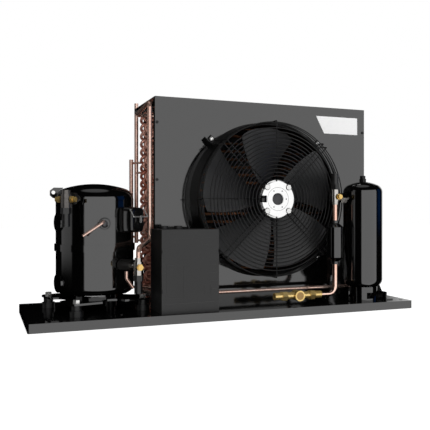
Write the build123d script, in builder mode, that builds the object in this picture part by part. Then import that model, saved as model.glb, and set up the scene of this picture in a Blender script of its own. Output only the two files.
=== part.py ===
from build123d import *
from math import cos, hypot, pi, radians, sin, tan
import os

# Air-cooled refrigeration condensing unit, built up on a folded base tray.
# Millimetres, +Z up, origin on the floor under the middle of the tray.
# +X runs from the compressor to the liquid receiver, and -Y is the service side.

os.makedirs("parts", exist_ok=True)

# ---------------------------------------------------------------- driving dimensions
seat_gap = 0.3          # left between a piece and the curved seat that carries it
running_gap = 0.05      # radial, between a turning piece and its shaft or bore

# Base tray, folded down on all four sides
base_length = 1100
base_depth = 344
base_height = 23
base_sheet = 2
base_corner = 5
anchor_hole_radius = 5.5
anchor_inset_x = 25
anchor_inset_y = 22

# Condenser casing
screw_radius = 2
screw_spacing = 164.9
screw_inset = 6
case_width = 705
case_height = 596
case_left = -187
case_front = 28
case_depth = 249
case_sheet = 1.2
case_return = 15
floor_sheet = 2
gusset_sheet = 3
gusset_height = 190
gusset_reach = 165
gusset_foot = 24

# Coil block
tube_radius = 4.76
tube_pitch = 25.4
row_pitch = 22
row_count = 4
tube_count = 22
first_tube = 27
coil_front = 173
sheet_inset = 29
tube_sheet = 1.5
fin_gap = 4
bend_leg = 2
header_radius = 6.5
header_offset = 21
header_foot = 163
tall_header_height = 453
short_header_height = 270
feed_radius = 3.5

# Fan, guard and motor
fan_x = 150
fan_rise = 301
throat_radius = 219
ring_depth = 60
ring_back_radius = 233
ring_front_radius = 228
ring_sheet = 2
guard_radius = 227
guard_height = 106
guard_wire = 3.2
guard_rings = 15
guard_pitch = 10.7
first_ring = 56.8
guard_sides = 28
spoke_offset = 7.4
hub_radius = 40
eye_radius = 248
bolt_shank = 3.2
screw_head = 4.5
flange_radius = 51
bolt_circle = 48.3
shaft_radius = 7.5
rotor_radius = 52
blade_count = 5
blade_tip = 212
blade_sheet = 3
blade_middle = -16

# Compressor
comp_x = -360
comp_y = 15
shell_radius = 104.5
shell_wall = 3.5
shell_bottom = 38
seam_height = 169
lip_height = 18
dome_start = 298
shell_top = 340
foot_pitch = 190.5
foot_turn = 15.3
foot_sheet = 5
bolt_shank_big = 4
bail_radius = 1.5

# Receiver and liquid line
rec_x = 421
rec_y = -106
rec_radius = 57.5
rec_bottom = 33
rec_top = 354
rec_wall = 3
gas_tube = 6.35
liquid_tube = 7.9
line_tube = 5.5
drier_radius = 24.5
valve_x = 319
valve_y = -115
glass_length = 149
window_radius = 15
# Service valves
barrel_radius = 13
arm_radius = 9
neck_radius = 8
port_radius = 5
spindle_radius = 4
cap_length = 47

# Electrical box
box_left = -219
box_front = -154
box_width = 157.5
box_depth = 107
box_height = 218
box_wall = 3
lid_height = 16
gland_radius = 8
gland_places = [(-190, -75), (-150, -75)]

# ---------------------------------------------------------------- levels worked out
deck = base_height
case_right = case_left + case_width
case_back = case_front + case_sheet
case_rear = case_front + case_depth
case_top = deck + case_height
floor_top = deck + floor_sheet
fan_z = deck + fan_rise
fan_axis = Axis((fan_x, 0, fan_z), (0, 1, 0))
sheet_left = case_left + sheet_inset


def front(y):
    """Plane that faces the service side at depth y; drawn in X and Z."""
    return Plane(origin=(0, y, 0), x_dir=(1, 0, 0), z_dir=(0, -1, 0))


def fan_front(y):
    """Same plane, with its origin on the fan axis."""
    return Plane(origin=(fan_x, y, fan_z), x_dir=(1, 0, 0), z_dir=(0, -1, 0))


def facing(x, y, z, angle):
    """Upright plane at a point, whose normal points along a level angle; its Y axis is up."""
    turn = radians(angle)
    return Plane(origin=(x, y, z), x_dir=(-sin(turn), cos(turn), 0),
                 z_dir=(cos(turn), sin(turn), 0))


def tube(route, bend, radius):
    """Round pipe along straight runs joined by tangent arcs."""
    with BuildPart() as run:
        with BuildLine() as centre:
            FilletPolyline(*route, radius=bend)
        with BuildSketch(Plane(origin=centre.line @ 0, z_dir=centre.line % 0)):
            Circle(radius)
        sweep(path=centre.line)
    return run


# ---------------------------------------------------------------- base tray
with BuildPart() as base_plate:
    with BuildSketch():
        RectangleRounded(base_length, base_depth, base_corner)
    extrude(amount=base_height)
    with BuildSketch():
        RectangleRounded(base_length - 2 * base_sheet, base_depth - 2 * base_sheet,
                         base_corner - base_sheet)
    extrude(amount=base_height - base_sheet, mode=Mode.SUBTRACT)
    with BuildSketch(Plane.XY.offset(deck - base_sheet)):
        with GridLocations(base_length - 2 * anchor_inset_x,
                           base_depth - 2 * anchor_inset_y, 2, 2):
            Circle(anchor_hole_radius)
        with Locations(Location((comp_x, comp_y), foot_turn)):
            with GridLocations(foot_pitch, foot_pitch, 2, 2):
                Circle(4.5)
    extrude(amount=base_sheet, mode=Mode.SUBTRACT)
base_plate.part.label = "base_plate"
export_step(base_plate.part, "parts/base_plate.step")

# ---------------------------------------------------------------- casing sheets
opening_radius = throat_radius + ring_sheet + 1
screw_places = [(x, deck + case_height / 2 - 24 + rise * screw_spacing)
                for x in (case_left + screw_inset, case_right - screw_inset)
                for rise in (-1.5, -0.5, 0.5, 1.5)]

# Front sheet: round fan opening, and returns folded back along its top and both sides
with BuildPart() as fan_panel:
    with BuildSketch(front(case_front)):
        with Locations((case_left + case_width / 2, deck + case_height / 2)):
            Rectangle(case_width, case_height)
        with Locations((fan_x, fan_z)):
            Circle(opening_radius, mode=Mode.SUBTRACT)
        with Locations(*screw_places):
            Circle(screw_radius + seat_gap, mode=Mode.SUBTRACT)
    extrude(amount=-case_sheet)
    with BuildSketch(front(case_back)):
        with Locations((case_left + case_width / 2, case_top - 1.5 * case_sheet)):
            Rectangle(case_width - 2 * case_sheet, case_sheet)
        with Locations((case_left + case_sheet / 2, deck + case_height / 2)):
            Rectangle(case_sheet, case_height - 6 * case_sheet)
        with Locations((case_right - 1.5 * case_sheet, deck + case_height / 2)):
            Rectangle(case_sheet, case_height - 6 * case_sheet)
    extrude(amount=-case_return)
fan_panel.part.label = "fan_panel"
export_step(fan_panel.part, "parts/fan_panel.step")

# Top sheet lies on the front sheet's return and turns down along the back
with BuildPart() as top_panel:
    with BuildSketch(Plane.YZ.offset(case_left)):
        with BuildLine():
            Polyline((case_back, case_top), (case_rear, case_top),
                     (case_rear, case_top - case_return),
                     (case_rear - case_sheet, case_top - case_return),
                     (case_rear - case_sheet, case_top - case_sheet),
                     (case_back, case_top - case_sheet), close=True)
        make_face()
    extrude(amount=case_width)
top_panel.part.label = "top_panel"
export_step(top_panel.part, "parts/top_panel.step")

# Right end sheet, with a return along the back edge
with BuildPart() as right_end_panel:
    with BuildSketch(Plane.XY.offset(floor_top)):
        with BuildLine():
            Polyline((case_right, case_back), (case_right, case_rear - case_sheet),
                     (case_right - case_return, case_rear - case_sheet),
                     (case_right - case_return, case_rear - 2 * case_sheet),
                     (case_right - case_sheet, case_rear - 2 * case_sheet),
                     (case_right - case_sheet, case_back), close=True)
        make_face()
    extrude(amount=case_top - case_sheet - floor_top)
right_end_panel.part.label = "right_end_panel"
export_step(right_end_panel.part, "parts/right_end_panel.step")

# Floor sheet bolted down on the tray; its back edge turns up behind the coil
with BuildPart() as casing_floor:
    with BuildSketch(Plane.XY.offset(deck)):
        with Locations((case_left + case_sheet, case_back)):
            Rectangle(case_width - case_sheet, case_rear - case_back, align=(Align.MIN, Align.MIN))
    extrude(amount=floor_sheet)
    with BuildSketch(Plane.XY.offset(floor_top)):
        with Locations((case_left + case_sheet, case_rear)):
            Rectangle(case_width - case_sheet - 2 * case_return, floor_sheet,
                      align=(Align.MIN, Align.MAX))
    extrude(amount=case_return - floor_sheet)
casing_floor.part.label = "casing_floor"
export_step(casing_floor.part, "parts/casing_floor.step")

# Gusset that braces the front sheet to the tray, beyond the receiver
gusset_x = rec_x + rec_radius + 4
with BuildPart() as gusset_bracket:
    with BuildSketch(Plane.YZ.offset(gusset_x)):
        with BuildLine():
            Polyline((case_front, deck), (case_front, deck + gusset_height),
                     (case_front - gusset_foot, deck + gusset_height),
                     (case_front - gusset_reach + gusset_foot, deck + gusset_foot),
                     (case_front - gusset_reach, deck + gusset_foot),
                     (case_front - gusset_reach, deck), close=True)
        make_face()
    extrude(amount=gusset_sheet)
    with BuildSketch(Plane.XY.offset(deck)):
        with Locations((gusset_x, case_front)):
            Rectangle(gusset_foot, gusset_reach, align=(Align.MIN, Align.MAX))
    extrude(amount=gusset_sheet)
    with BuildSketch(front(case_front)):
        with Locations((gusset_x, deck)):
            Rectangle(gusset_foot, gusset_height, align=(Align.MIN, Align.MIN))
    extrude(amount=gusset_sheet)
gusset_bracket.part.label = "gusset_bracket"
export_step(gusset_bracket.part, "parts/gusset_bracket.step")

# ---------------------------------------------------------------- coil block
sheet_height = case_top - 2 * case_sheet - seat_gap - floor_top
fin_left = sheet_left + tube_sheet
fin_right = case_right - case_return - tube_sheet - seat_gap
coil_back = coil_front + row_count * row_pitch


def row_y(row):
    """Depth of a tube row, counted from the fan side."""
    return coil_front + row_pitch * (row + 0.5)


def tube_z(count, row):
    """Height of a tube; every other row stands half a pitch higher."""
    return floor_top + first_tube + tube_pitch * (count + 0.5 * (row % 2))


# Two end sheets carry the tubes; the left one also closes the space behind the fan
with BuildPart() as tube_sheets:
    with BuildSketch(Plane.YZ.offset(sheet_left)):
        with Locations((case_back + case_return + seat_gap, floor_top)):
            Rectangle(case_depth - case_return - floor_sheet - 3 * case_sheet, sheet_height,
                      align=(Align.MIN, Align.MIN))
    extrude(amount=tube_sheet)
    with BuildSketch(Plane.YZ.offset(fin_right)):
        with Locations((coil_front, floor_top)):
            Rectangle(row_count * row_pitch, sheet_height, align=(Align.MIN, Align.MIN))
    extrude(amount=tube_sheet)
tube_sheets.part.label = "tube_sheets"
export_step(tube_sheets.part, "parts/tube_sheets.step")

# Fin pack behind the first tube row, kept as one block between the end sheets
with BuildPart() as coil_fins:
    with BuildSketch(Plane.XY.offset(floor_top + fin_gap)):
        with Locations((fin_left, row_y(0) + tube_radius + seat_gap)):
            Rectangle(fin_right - fin_left, coil_back - row_y(0) - tube_radius - seat_gap,
                      align=(Align.MIN, Align.MIN))
    extrude(amount=sheet_height - 2 * fin_gap)
coil_fins.part.label = "coil_fins"
export_step(coil_fins.part, "parts/coil_fins.step")

# First tube row, which faces the fan
with BuildPart() as coil_tubes:
    with BuildSketch(Plane.YZ.offset(fin_left)):
        for count in range(tube_count):
            with Locations((row_y(0), tube_z(count, 0))):
                RegularPolygon(tube_radius, 8)
    extrude(amount=fin_right - fin_left)
coil_tubes.part.label = "coil_tubes"
export_step(coil_tubes.part, "parts/coil_tubes.step")

# Return bend: a leg, half a turn in three flats, and a leg
half_pitch = tube_pitch / 2
with BuildPart() as one_bend:
    with BuildLine() as bend_line:
        Polyline((0, half_pitch, 0), (-bend_leg, half_pitch, 0),
                 (-bend_leg - half_pitch * sin(pi / 3), half_pitch * cos(pi / 3), 0),
                 (-bend_leg - half_pitch * sin(pi / 3), -half_pitch * cos(pi / 3), 0),
                 (-bend_leg, -half_pitch, 0), (0, -half_pitch, 0))
    with BuildSketch(Plane(origin=bend_line.line @ 0, z_dir=bend_line.line % 0)):
        RegularPolygon(tube_radius, 6)
    sweep(path=bend_line.line, transition=Transition.RIGHT)


def bend_places():
    """Middle and lean of each return bend on the left end sheet."""
    places = []
    for count in range(tube_count):
        low = tube_z(count, 2)
        places.append(((row_y(2) + row_y(3)) / 2, low - tube_pitch / 4,
                       90 + 30))
    for count in range(1, tube_count - 1, 2):
        places.append((row_y(0), tube_z(count, 0) + half_pitch, 90))
    for count in range(0, tube_count - 1, 2):
        places.append((row_y(1), tube_z(count, 1) + half_pitch, 90))
    return places


with BuildPart() as return_bends:
    for bend_y, bend_z, lean in bend_places():
        with Locations(Location((sheet_left, bend_y, bend_z), (lean, 0, 0))):
            add(one_bend)
return_bends.part.label = "return_bends"
export_step(return_bends.part, "parts/return_bends.step")

# Two upright manifolds stand behind the left end, with short feeds into the sheet
header_y = case_rear + header_radius + 2
tall_header = (sheet_left - header_offset, header_y)
short_header = (sheet_left - header_offset - 17, header_y)
feed_y = row_y(3) + 2 * tube_radius + 5


def feed(level):
    """Small tube from the tall header round into the left end sheet."""
    return tube([(tall_header[0], header_y, level), (tall_header[0], feed_y, level),
                 (sheet_left - seat_gap, feed_y, level)], 6, feed_radius)


with BuildPart() as coil_headers:
    with BuildSketch(Plane.XY.offset(deck + header_foot)):
        with Locations(tall_header):
            Circle(header_radius)
    extrude(amount=tall_header_height)
    with BuildSketch(Plane.XY.offset(deck + header_foot)):
        with Locations(short_header):
            Circle(header_radius)
    extrude(amount=short_header_height)
    for level in (case_top - 206, case_top - 174, deck + header_foot + 9):
        add(feed(level).part)
    with BuildSketch(Plane.YZ.offset(short_header[0])):
        with Locations((header_y, case_top - 174), (header_y, deck + header_foot + 20)):
            Circle(feed_radius)
    extrude(amount=tall_header[0] - short_header[0])
coil_headers.part.label = "coil_headers"
export_step(coil_headers.part, "parts/coil_headers.step")

# Copper line from the discharge valve up and over to the first coil tube
discharge_x = -275
discharge_y = -133
discharge_z = 149
riser_x = sheet_left - 45
with BuildPart() as hot_gas_line:
    add(tube([(discharge_x, discharge_y, discharge_z + 14), (discharge_x, discharge_y, discharge_z + 45),
              (riser_x, case_front, discharge_z + 58), (riser_x, case_front, tube_z(tube_count - 1, 0) + 17),
              (riser_x, row_y(0), tube_z(tube_count - 1, 0)),
              (sheet_left, row_y(0), tube_z(tube_count - 1, 0))], 17, gas_tube).part)
hot_gas_line.part.label = "hot_gas_line"
export_step(hot_gas_line.part, "parts/hot_gas_line.step")

# Liquid line from the lowest coil tube, along the front of the casing, to the receiver
line_y = rec_y + rec_radius + 20
line_level = deck + 33
socket_level = deck + 107
with BuildPart() as liquid_line:
    add(tube([(sheet_left, row_y(0), tube_z(0, 0)), (riser_x - 2, row_y(0), tube_z(0, 0)),
              (riser_x + 13, line_y, line_level), (rec_x, line_y, line_level),
              (rec_x, line_y, socket_level), (rec_x, rec_y + rec_radius + 1.5, socket_level)],
             12, line_tube).part)
liquid_line.part.label = "liquid_line"
export_step(liquid_line.part, "parts/liquid_line.step")

# ---------------------------------------------------------------- fan
ring_front = case_front - ring_depth
lug_y = case_front - 26


def around(radius, side, depth, angle):
    """Point at a radius and a sideways offset from the fan axis, turned to an angle."""
    turn = radians(angle)
    return (fan_x + radius * cos(turn) - side * sin(turn), depth,
            fan_z + radius * sin(turn) + side * cos(turn))


# Bell mouth: tapered collar, rolled front lip and a throat that runs back through the sheet
with BuildPart() as bell_mouth:
    with BuildSketch(Plane(origin=(fan_x, 0, fan_z), x_dir=(1, 0, 0), z_dir=(0, 0, 1))):
        with BuildLine():
            Polyline((ring_back_radius, case_front), (ring_front_radius, ring_front + 6),
                     (ring_front_radius - 2, ring_front + 2), (ring_front_radius - 5, ring_front),
                     (throat_radius + 1.5, ring_front + 1.5), (throat_radius, ring_front + 6),
                     (throat_radius, case_front + 12), (throat_radius + ring_sheet, case_front + 12),
                     (throat_radius + ring_sheet, ring_front + 6),
                     (ring_front_radius - ring_sheet, ring_front + 6),
                     (ring_back_radius - ring_sheet, case_front), close=True)
        make_face()
    revolve(axis=fan_axis)
    with BuildSketch(fan_front(lug_y)):
        with PolarLocations(ring_front_radius + 16, 4, start_angle=45):
            Rectangle(28, 16)
        with PolarLocations(eye_radius, 4, start_angle=45):
            Circle(screw_radius + seat_gap, mode=Mode.SUBTRACT)
    extrude(amount=-ring_sheet)
bell_mouth.part.label = "bell_mouth"
export_step(bell_mouth.part, "parts/bell_mouth.step")

# Wire guard: flat rings in front, three collar rings, and spokes folded back round the collar
face_y = case_front - guard_height
spoke_y = face_y + 1.5 * guard_wire
last_ring = first_ring + (guard_rings - 1) * guard_pitch
side_radius = guard_radius - 2


def wire(points):
    """Square-drawn wire bent sharply through the points."""
    with BuildPart() as bent:
        with BuildLine() as centre:
            Polyline(*points)
        with BuildSketch(Plane(origin=centre.line @ 0, x_dir=(0, 1, 0), z_dir=centre.line % 0)):
            Rectangle(guard_wire, guard_wire)
        sweep(path=centre.line, transition=Transition.RIGHT)
    return bent



def single_spoke(angle, back):
    """One straight wire from the hub plate to the rim, turned back beside the collar."""
    return wire([around(hub_radius, 0, spoke_y, angle),
                 around(side_radius + guard_wire + 0.1, 0, spoke_y, angle),
                 around(side_radius + guard_wire + 0.1, 0, back, angle)])


def hairpin(angle):
    """Double spoke: a loop at the hub, two wires to the rim and back to an eye at the lug."""
    outer = side_radius + guard_wire + 0.1
    eye_y = lug_y - guard_wire / 2
    half = [(eye_radius + spoke_offset, seat_gap, eye_y), (eye_radius + spoke_offset, spoke_offset, eye_y),
            (outer + 7, spoke_offset, eye_y), (outer, spoke_offset, spoke_y),
            (hub_radius, spoke_offset, spoke_y)]
    loop = half + [(radius, -side, depth) for radius, side, depth in reversed(half)]
    return wire([around(radius, side, depth, angle) for radius, side, depth in loop])


with BuildPart() as fan_guard:
    with BuildSketch(fan_front(face_y + guard_wire)):
        for count in reversed(range(guard_rings)):
            ring_radius = first_ring + count * guard_pitch
            RegularPolygon(ring_radius + guard_wire / 2, guard_sides)
            RegularPolygon(ring_radius - guard_wire / 2, guard_sides, mode=Mode.SUBTRACT)
    extrude(amount=guard_wire - running_gap)
    for depth in (spoke_y + 10.2, spoke_y + 22, spoke_y + 35):
        with BuildSketch(fan_front(depth)):
            RegularPolygon(side_radius + guard_wire / 2, guard_sides)
            RegularPolygon(side_radius - guard_wire / 2, guard_sides, mode=Mode.SUBTRACT)
        extrude(amount=guard_wire)
    for angle in (90, 180, 270):
        add(single_spoke(angle, spoke_y + 38).part)
    add(wire([around(hub_radius, 0, spoke_y, 0), around(last_ring + 4, 0, spoke_y, 0)]).part)
    for angle in (45, 135, 225, 315):
        add(hairpin(angle).part)
fan_guard.part.label = "fan_guard"
export_step(fan_guard.part, "parts/fan_guard.step")

# Screws: four through the guard eyes, and a column down each edge of the front sheet
with BuildPart() as casing_screws:
    for turn in (45, 135, 225, 315):
        with BuildSketch(Plane(around(eye_radius, 0, lug_y - guard_wire, turn),
                               x_dir=(1, 0, 0), z_dir=(0, -1, 0))):
            RegularPolygon(screw_head + 2, 6)
        extrude(amount=4)
        with BuildSketch(Plane(around(eye_radius, 0, lug_y - guard_wire, turn),
                               x_dir=(1, 0, 0), z_dir=(0, 1, 0))):
            Circle(screw_radius)
        extrude(amount=12)
    with BuildSketch(front(case_front)):
        with Locations(*screw_places):
            RegularPolygon(screw_head, 6)
    extrude(amount=2.5)
    with BuildSketch(front(case_front)):
        with Locations(*screw_places):
            Circle(screw_radius)
    extrude(amount=-6)
casing_screws.part.label = "casing_screws"
export_step(casing_screws.part, "parts/casing_screws.step")

# Fan motor: notched front plate, hub disc behind the spokes, core and fixed shaft
hub_back = spoke_y + guard_wire / 2 + 0.1
with BuildPart() as motor_stator:
    with BuildSketch(fan_front(face_y + guard_wire / 2)):
        Circle(flange_radius)
        with PolarLocations(bolt_circle, 4, start_angle=45):
            Circle(9, mode=Mode.SUBTRACT)
        with Locations((-flange_radius, 0)):
            Rectangle(30, 20, mode=Mode.SUBTRACT)
    extrude(amount=5)
    with BuildSketch(fan_front(face_y + guard_wire / 2 - 3)):
        Circle(18)
    extrude(amount=2, mode=Mode.SUBTRACT)
    with BuildSketch(fan_front(hub_back)):
        Circle(hub_radius - 3)
    extrude(amount=hub_back - face_y - guard_wire / 2)
    with BuildSketch(fan_front(hub_back)):
        Circle(flange_radius + 5)
        with PolarLocations(bolt_circle, 4, start_angle=45):
            Circle(bolt_shank + seat_gap, mode=Mode.SUBTRACT)
    extrude(amount=-5.5)
    with BuildSketch(fan_front(hub_back + 5.5)):
        Circle(rotor_radius - 8)
    extrude(amount=-40)
    with BuildSketch(fan_front(hub_back + 45.5)):
        Circle(shaft_radius)
    extrude(amount=-20)
motor_stator.part.label = "motor_stator"
export_step(motor_stator.part, "parts/motor_stator.step")

# Bolts that clamp the double spokes between their heads and the hub disc
with BuildPart() as motor_bolts:
    with BuildSketch(fan_front(hub_back - guard_wire - 0.2)):
        with PolarLocations(bolt_circle, 4, start_angle=45):
            Circle(6.4)
    extrude(amount=5)
    with BuildSketch(fan_front(hub_back - guard_wire - 4)):
        with PolarLocations(bolt_circle, 4, start_angle=45):
            RegularPolygon(8, 6)
    extrude(amount=5)
    with BuildSketch(fan_front(hub_back - guard_wire - 0.2)):
        with PolarLocations(bolt_circle, 4, start_angle=45):
            Circle(bolt_shank)
    extrude(amount=-8.5)
motor_bolts.part.label = "motor_bolts"
export_step(motor_bolts.part, "parts/motor_bolts.step")

# Rotor can turns round the core and carries the impeller on its outside
can_front = hub_back + 7.5
can_back = hub_back + 64
with BuildPart() as motor_rotor:
    with BuildSketch(Plane(origin=(fan_x, 0, fan_z), x_dir=(1, 0, 0), z_dir=(0, 0, 1))):
        with BuildLine():
            Polyline((rotor_radius - 4, can_front), (rotor_radius, can_front), (rotor_radius, can_back),
                     (shaft_radius + running_gap, can_back), (shaft_radius + running_gap, can_back - 16),
                     (rotor_radius - 4, can_back - 16), close=True)
        make_face()
    revolve(axis=fan_axis)
motor_rotor.part.label = "motor_rotor"
export_step(motor_rotor.part, "parts/motor_rotor.step")

# Impeller: clamp ring on the rotor can, with five swept blades lofted through flat sections
# One row per section: radius, chord, pitch angle and sideways sweep
blade_sections = [(50, 47, 42, 0), (100, 77, 32, -3.5), (155, 113, 26, -21.8), (225, 173, 21, -64.5)]
with BuildPart() as one_blade:
    for station, chord, pitch, swept in blade_sections:
        with BuildSketch(Plane.YZ.offset(station)):
            with Locations((blade_middle, swept)):
                Rectangle(blade_sheet, chord, rotation=pitch)
    loft(ruled=True)
    with BuildSketch(Plane.XZ):
        Circle(blade_tip)
        Circle(rotor_radius + seat_gap + 1, mode=Mode.SUBTRACT)
    extrude(amount=80, both=True, mode=Mode.INTERSECT)

with BuildPart() as impeller:
    with BuildSketch(fan_front(blade_middle + 22)):
        Circle(rotor_radius + seat_gap + 2.2)
        Circle(rotor_radius + seat_gap, mode=Mode.SUBTRACT)
    extrude(amount=44)
    for count in range(blade_count):
        with Locations(Location((fan_x, 0, fan_z), (0, -181 - 360 / blade_count * count, 0))):
            add(one_blade.part)
impeller.part.label = "impeller"
export_step(impeller.part, "parts/impeller.step")

# ---------------------------------------------------------------- compressor
seam = deck + seam_height
shell_base = deck + shell_bottom
shell_crown = deck + shell_top


def dished(radius, low, high):
    """Half outline of an upright vessel with dished ends; drawn in radius and height."""
    with BuildSketch() as outline:
        with BuildLine():
            Line((0, low), (0, high))
            TangentArc((0, high), (radius * 0.82, high - 14), tangent=(1, 0))
            ThreePointArc((radius * 0.82, high - 14), (radius * 0.957, high - 27), (radius, high - 47))
            Line((radius, high - 47), (radius, low + 27))
            ThreePointArc((radius, low + 27), (radius * 0.965, low + 15), (radius * 0.88, low + 8))
            TangentArc((0, low), (radius * 0.88, low + 8), tangent=(1, 0))
        make_face()
    return outline


comp_plane = Plane(origin=(comp_x, comp_y, 0), x_dir=(1, 0, 0), z_dir=(0, -1, 0))
comp_axis = Axis((comp_x, comp_y, 0), (0, 0, 1))


def shell_form(grow):
    """Solid of the compressor shell's outside, offset outwards by grow."""
    with BuildPart() as form:
        with BuildSketch(comp_plane):
            add(dished(shell_radius + grow, shell_base - grow, shell_crown + grow).sketch)
        revolve(axis=comp_axis)
    return form


def shell_point(radius, angle):
    """Level point at a radius and angle about the compressor."""
    return comp_x + radius * cos(radians(angle)), comp_y + radius * sin(radians(angle))


with BuildPart() as compressor_lower_shell:
    with BuildSketch(comp_plane):
        add(dished(shell_radius, shell_base, shell_crown).sketch)
        add(dished(shell_radius - shell_wall, shell_base + shell_wall, shell_crown - shell_wall).sketch,
            mode=Mode.SUBTRACT)
        with Locations((shell_radius, seam + shell_top)):
            Rectangle(4 * shell_radius, 2 * shell_top, mode=Mode.SUBTRACT)
    revolve(axis=comp_axis)
    with BuildSketch(facing(*shell_point(shell_radius - shell_wall + 0.2, -165), deck + 76, -165)):
        Circle(25)
    extrude(amount=shell_wall + 3)
    with BuildSketch(facing(*shell_point(shell_radius + 3, -165), deck + 76, -165)):
        Circle(14)
    extrude(amount=-2, mode=Mode.SUBTRACT)
compressor_lower_shell.part.label = "compressor_lower_shell"
export_step(compressor_lower_shell.part, "parts/compressor_lower_shell.step")

# Upper shell: its rolled lip reaches down outside the lower shell
with BuildPart() as compressor_upper_shell:
    with BuildSketch(comp_plane):
        add(dished(shell_radius, shell_base, shell_crown).sketch)
        with Locations((shell_radius + seat_gap + shell_wall / 2, seam)):
            Rectangle(shell_wall, lip_height)
        with Locations((shell_radius, seam + lip_height / 4 + seat_gap / 2)):
            Rectangle(2 * seat_gap, lip_height / 2 - seat_gap)
        with Locations((0, seam + seat_gap - shell_top)):
            Rectangle(2 * shell_radius + seat_gap * 2, 2 * shell_top, mode=Mode.SUBTRACT)
        add(dished(shell_radius - shell_wall, shell_base + shell_wall, shell_crown - shell_wall).sketch,
            mode=Mode.SUBTRACT)
    revolve(axis=comp_axis)
    with BuildSketch(facing(*shell_point(shell_radius - shell_wall + 0.2, -165), deck + 236, -165)):
        Circle(25)
    extrude(amount=shell_wall + 3)
    with BuildSketch(facing(*shell_point(shell_radius + 3, -165), deck + 236, -165)):
        Circle(15)
    extrude(amount=-2, mode=Mode.SUBTRACT)
    with BuildSketch(facing(*shell_point(shell_radius - shell_wall + 0.2, -89), deck + 238, -89)):
        Circle(14)
    extrude(amount=shell_wall + 1)
compressor_upper_shell.part.label = "compressor_upper_shell"
export_step(compressor_upper_shell.part, "parts/compressor_upper_shell.step")

# Pump and its motor, a press fit inside the lower shell
with BuildPart() as compressor_pump:
    with BuildSketch(Plane.XY.offset(shell_base + 42)):
        with Locations((comp_x, comp_y)):
            Circle(shell_radius - shell_wall - seat_gap)
    extrude(amount=60)
    with BuildSketch(Plane.XY.offset(shell_base + 42)):
        with Locations((comp_x, comp_y)):
            Circle(shell_radius - 24)
    extrude(amount=190)
compressor_pump.part.label = "compressor_pump"
export_step(compressor_pump.part, "parts/compressor_pump.step")

# Square foot under the shell, turned a little, on four rubber mounts
foot_under = deck + 29
foot_place = Location((comp_x, comp_y, foot_under), (0, 0, foot_turn))
with BuildPart() as compressor_foot:
    with BuildSketch(Plane(foot_place)):
        RectangleRounded(foot_pitch + 36, foot_pitch + 36, 18)
        Circle(46, mode=Mode.SUBTRACT)
        with Locations((foot_pitch / 2 + 18, 0), (-foot_pitch / 2 - 18, 0),
                       (0, foot_pitch / 2 + 18), (0, -foot_pitch / 2 - 18)):
            Circle(32, mode=Mode.SUBTRACT)
        with GridLocations(foot_pitch, foot_pitch, 2, 2):
            Circle(bolt_shank_big + seat_gap, mode=Mode.SUBTRACT)
    extrude(amount=foot_sheet)
    with BuildSketch(Plane(foot_place)):
        Circle(60)
        Circle(56, mode=Mode.SUBTRACT)
    extrude(amount=shell_base - foot_under + 2.3)
compressor_foot.part.label = "compressor_foot"
export_step(compressor_foot.part, "parts/compressor_foot.step")

mount_place = Location((comp_x, comp_y, deck), (0, 0, foot_turn))
with BuildPart() as mount_grommets:
    with BuildSketch(Plane(mount_place)):
        with GridLocations(foot_pitch, foot_pitch, 2, 2):
            Circle(17.5)
            Circle(bolt_shank_big + seat_gap, mode=Mode.SUBTRACT)
    extrude(amount=14)
    with BuildSketch(Plane(mount_place)):
        with GridLocations(foot_pitch, foot_pitch, 2, 2):
            Circle(13)
            Circle(bolt_shank_big + seat_gap, mode=Mode.SUBTRACT)
    extrude(amount=foot_under - deck)
mount_grommets.part.label = "mount_grommets"
export_step(mount_grommets.part, "parts/mount_grommets.step")

# Mount bolts, dropped through foot, mount and tray, with their nuts below
with BuildPart() as mount_bolts:
    with BuildSketch(Plane(Location((comp_x, comp_y, foot_under + foot_sheet), (0, 0, foot_turn)))):
        with GridLocations(foot_pitch, foot_pitch, 2, 2):
            RegularPolygon(9, 6)
    extrude(amount=8)
    with BuildSketch(Plane(Location((comp_x, comp_y, foot_under + foot_sheet), (0, 0, foot_turn)))):
        with GridLocations(foot_pitch, foot_pitch, 2, 2):
            Circle(bolt_shank_big)
    extrude(amount=-47)
    with BuildSketch(Plane(Location((comp_x, comp_y, deck - base_sheet), (0, 0, foot_turn)))):
        with GridLocations(foot_pitch, foot_pitch, 2, 2):
            RegularPolygon(8, 6)
            Circle(bolt_shank_big + running_gap, mode=Mode.SUBTRACT)
    extrude(amount=-7)
mount_bolts.part.label = "mount_bolts"
export_step(mount_bolts.part, "parts/mount_bolts.step")

# Lifting eye cut to the curve of the dome
with BuildPart() as lifting_eye:
    with BuildSketch(front(comp_y + 2)):
        with BuildLine():
            Polyline((comp_x - 85, shell_crown - 11), (comp_x - 110, shell_crown - 11),
                     (comp_x - 120, shell_crown - 19), (comp_x - 120, shell_crown - 32),
                     (comp_x - 112, shell_crown - 39), (comp_x - 100, shell_crown - 41), close=True)
        make_face()
        with Locations((comp_x - 111, shell_crown - 24)):
            Circle(5, mode=Mode.SUBTRACT)
    extrude(amount=4)
    add(shell_form(seat_gap).part, mode=Mode.SUBTRACT)
lifting_eye.part.label = "lifting_eye"
export_step(lifting_eye.part, "parts/lifting_eye.step")

# Copper filling stub, sealed at its end
with BuildPart() as process_tube:
    add(tube([(*shell_point(shell_radius + 1.2, -89), deck + 238), (*shell_point(shell_radius + 15, -89), deck + 238),
              (*shell_point(shell_radius + 30, -113), deck + 203)], 8, 4).part)
process_tube.part.label = "process_tube"
export_step(process_tube.part, "parts/process_tube.step")

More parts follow.
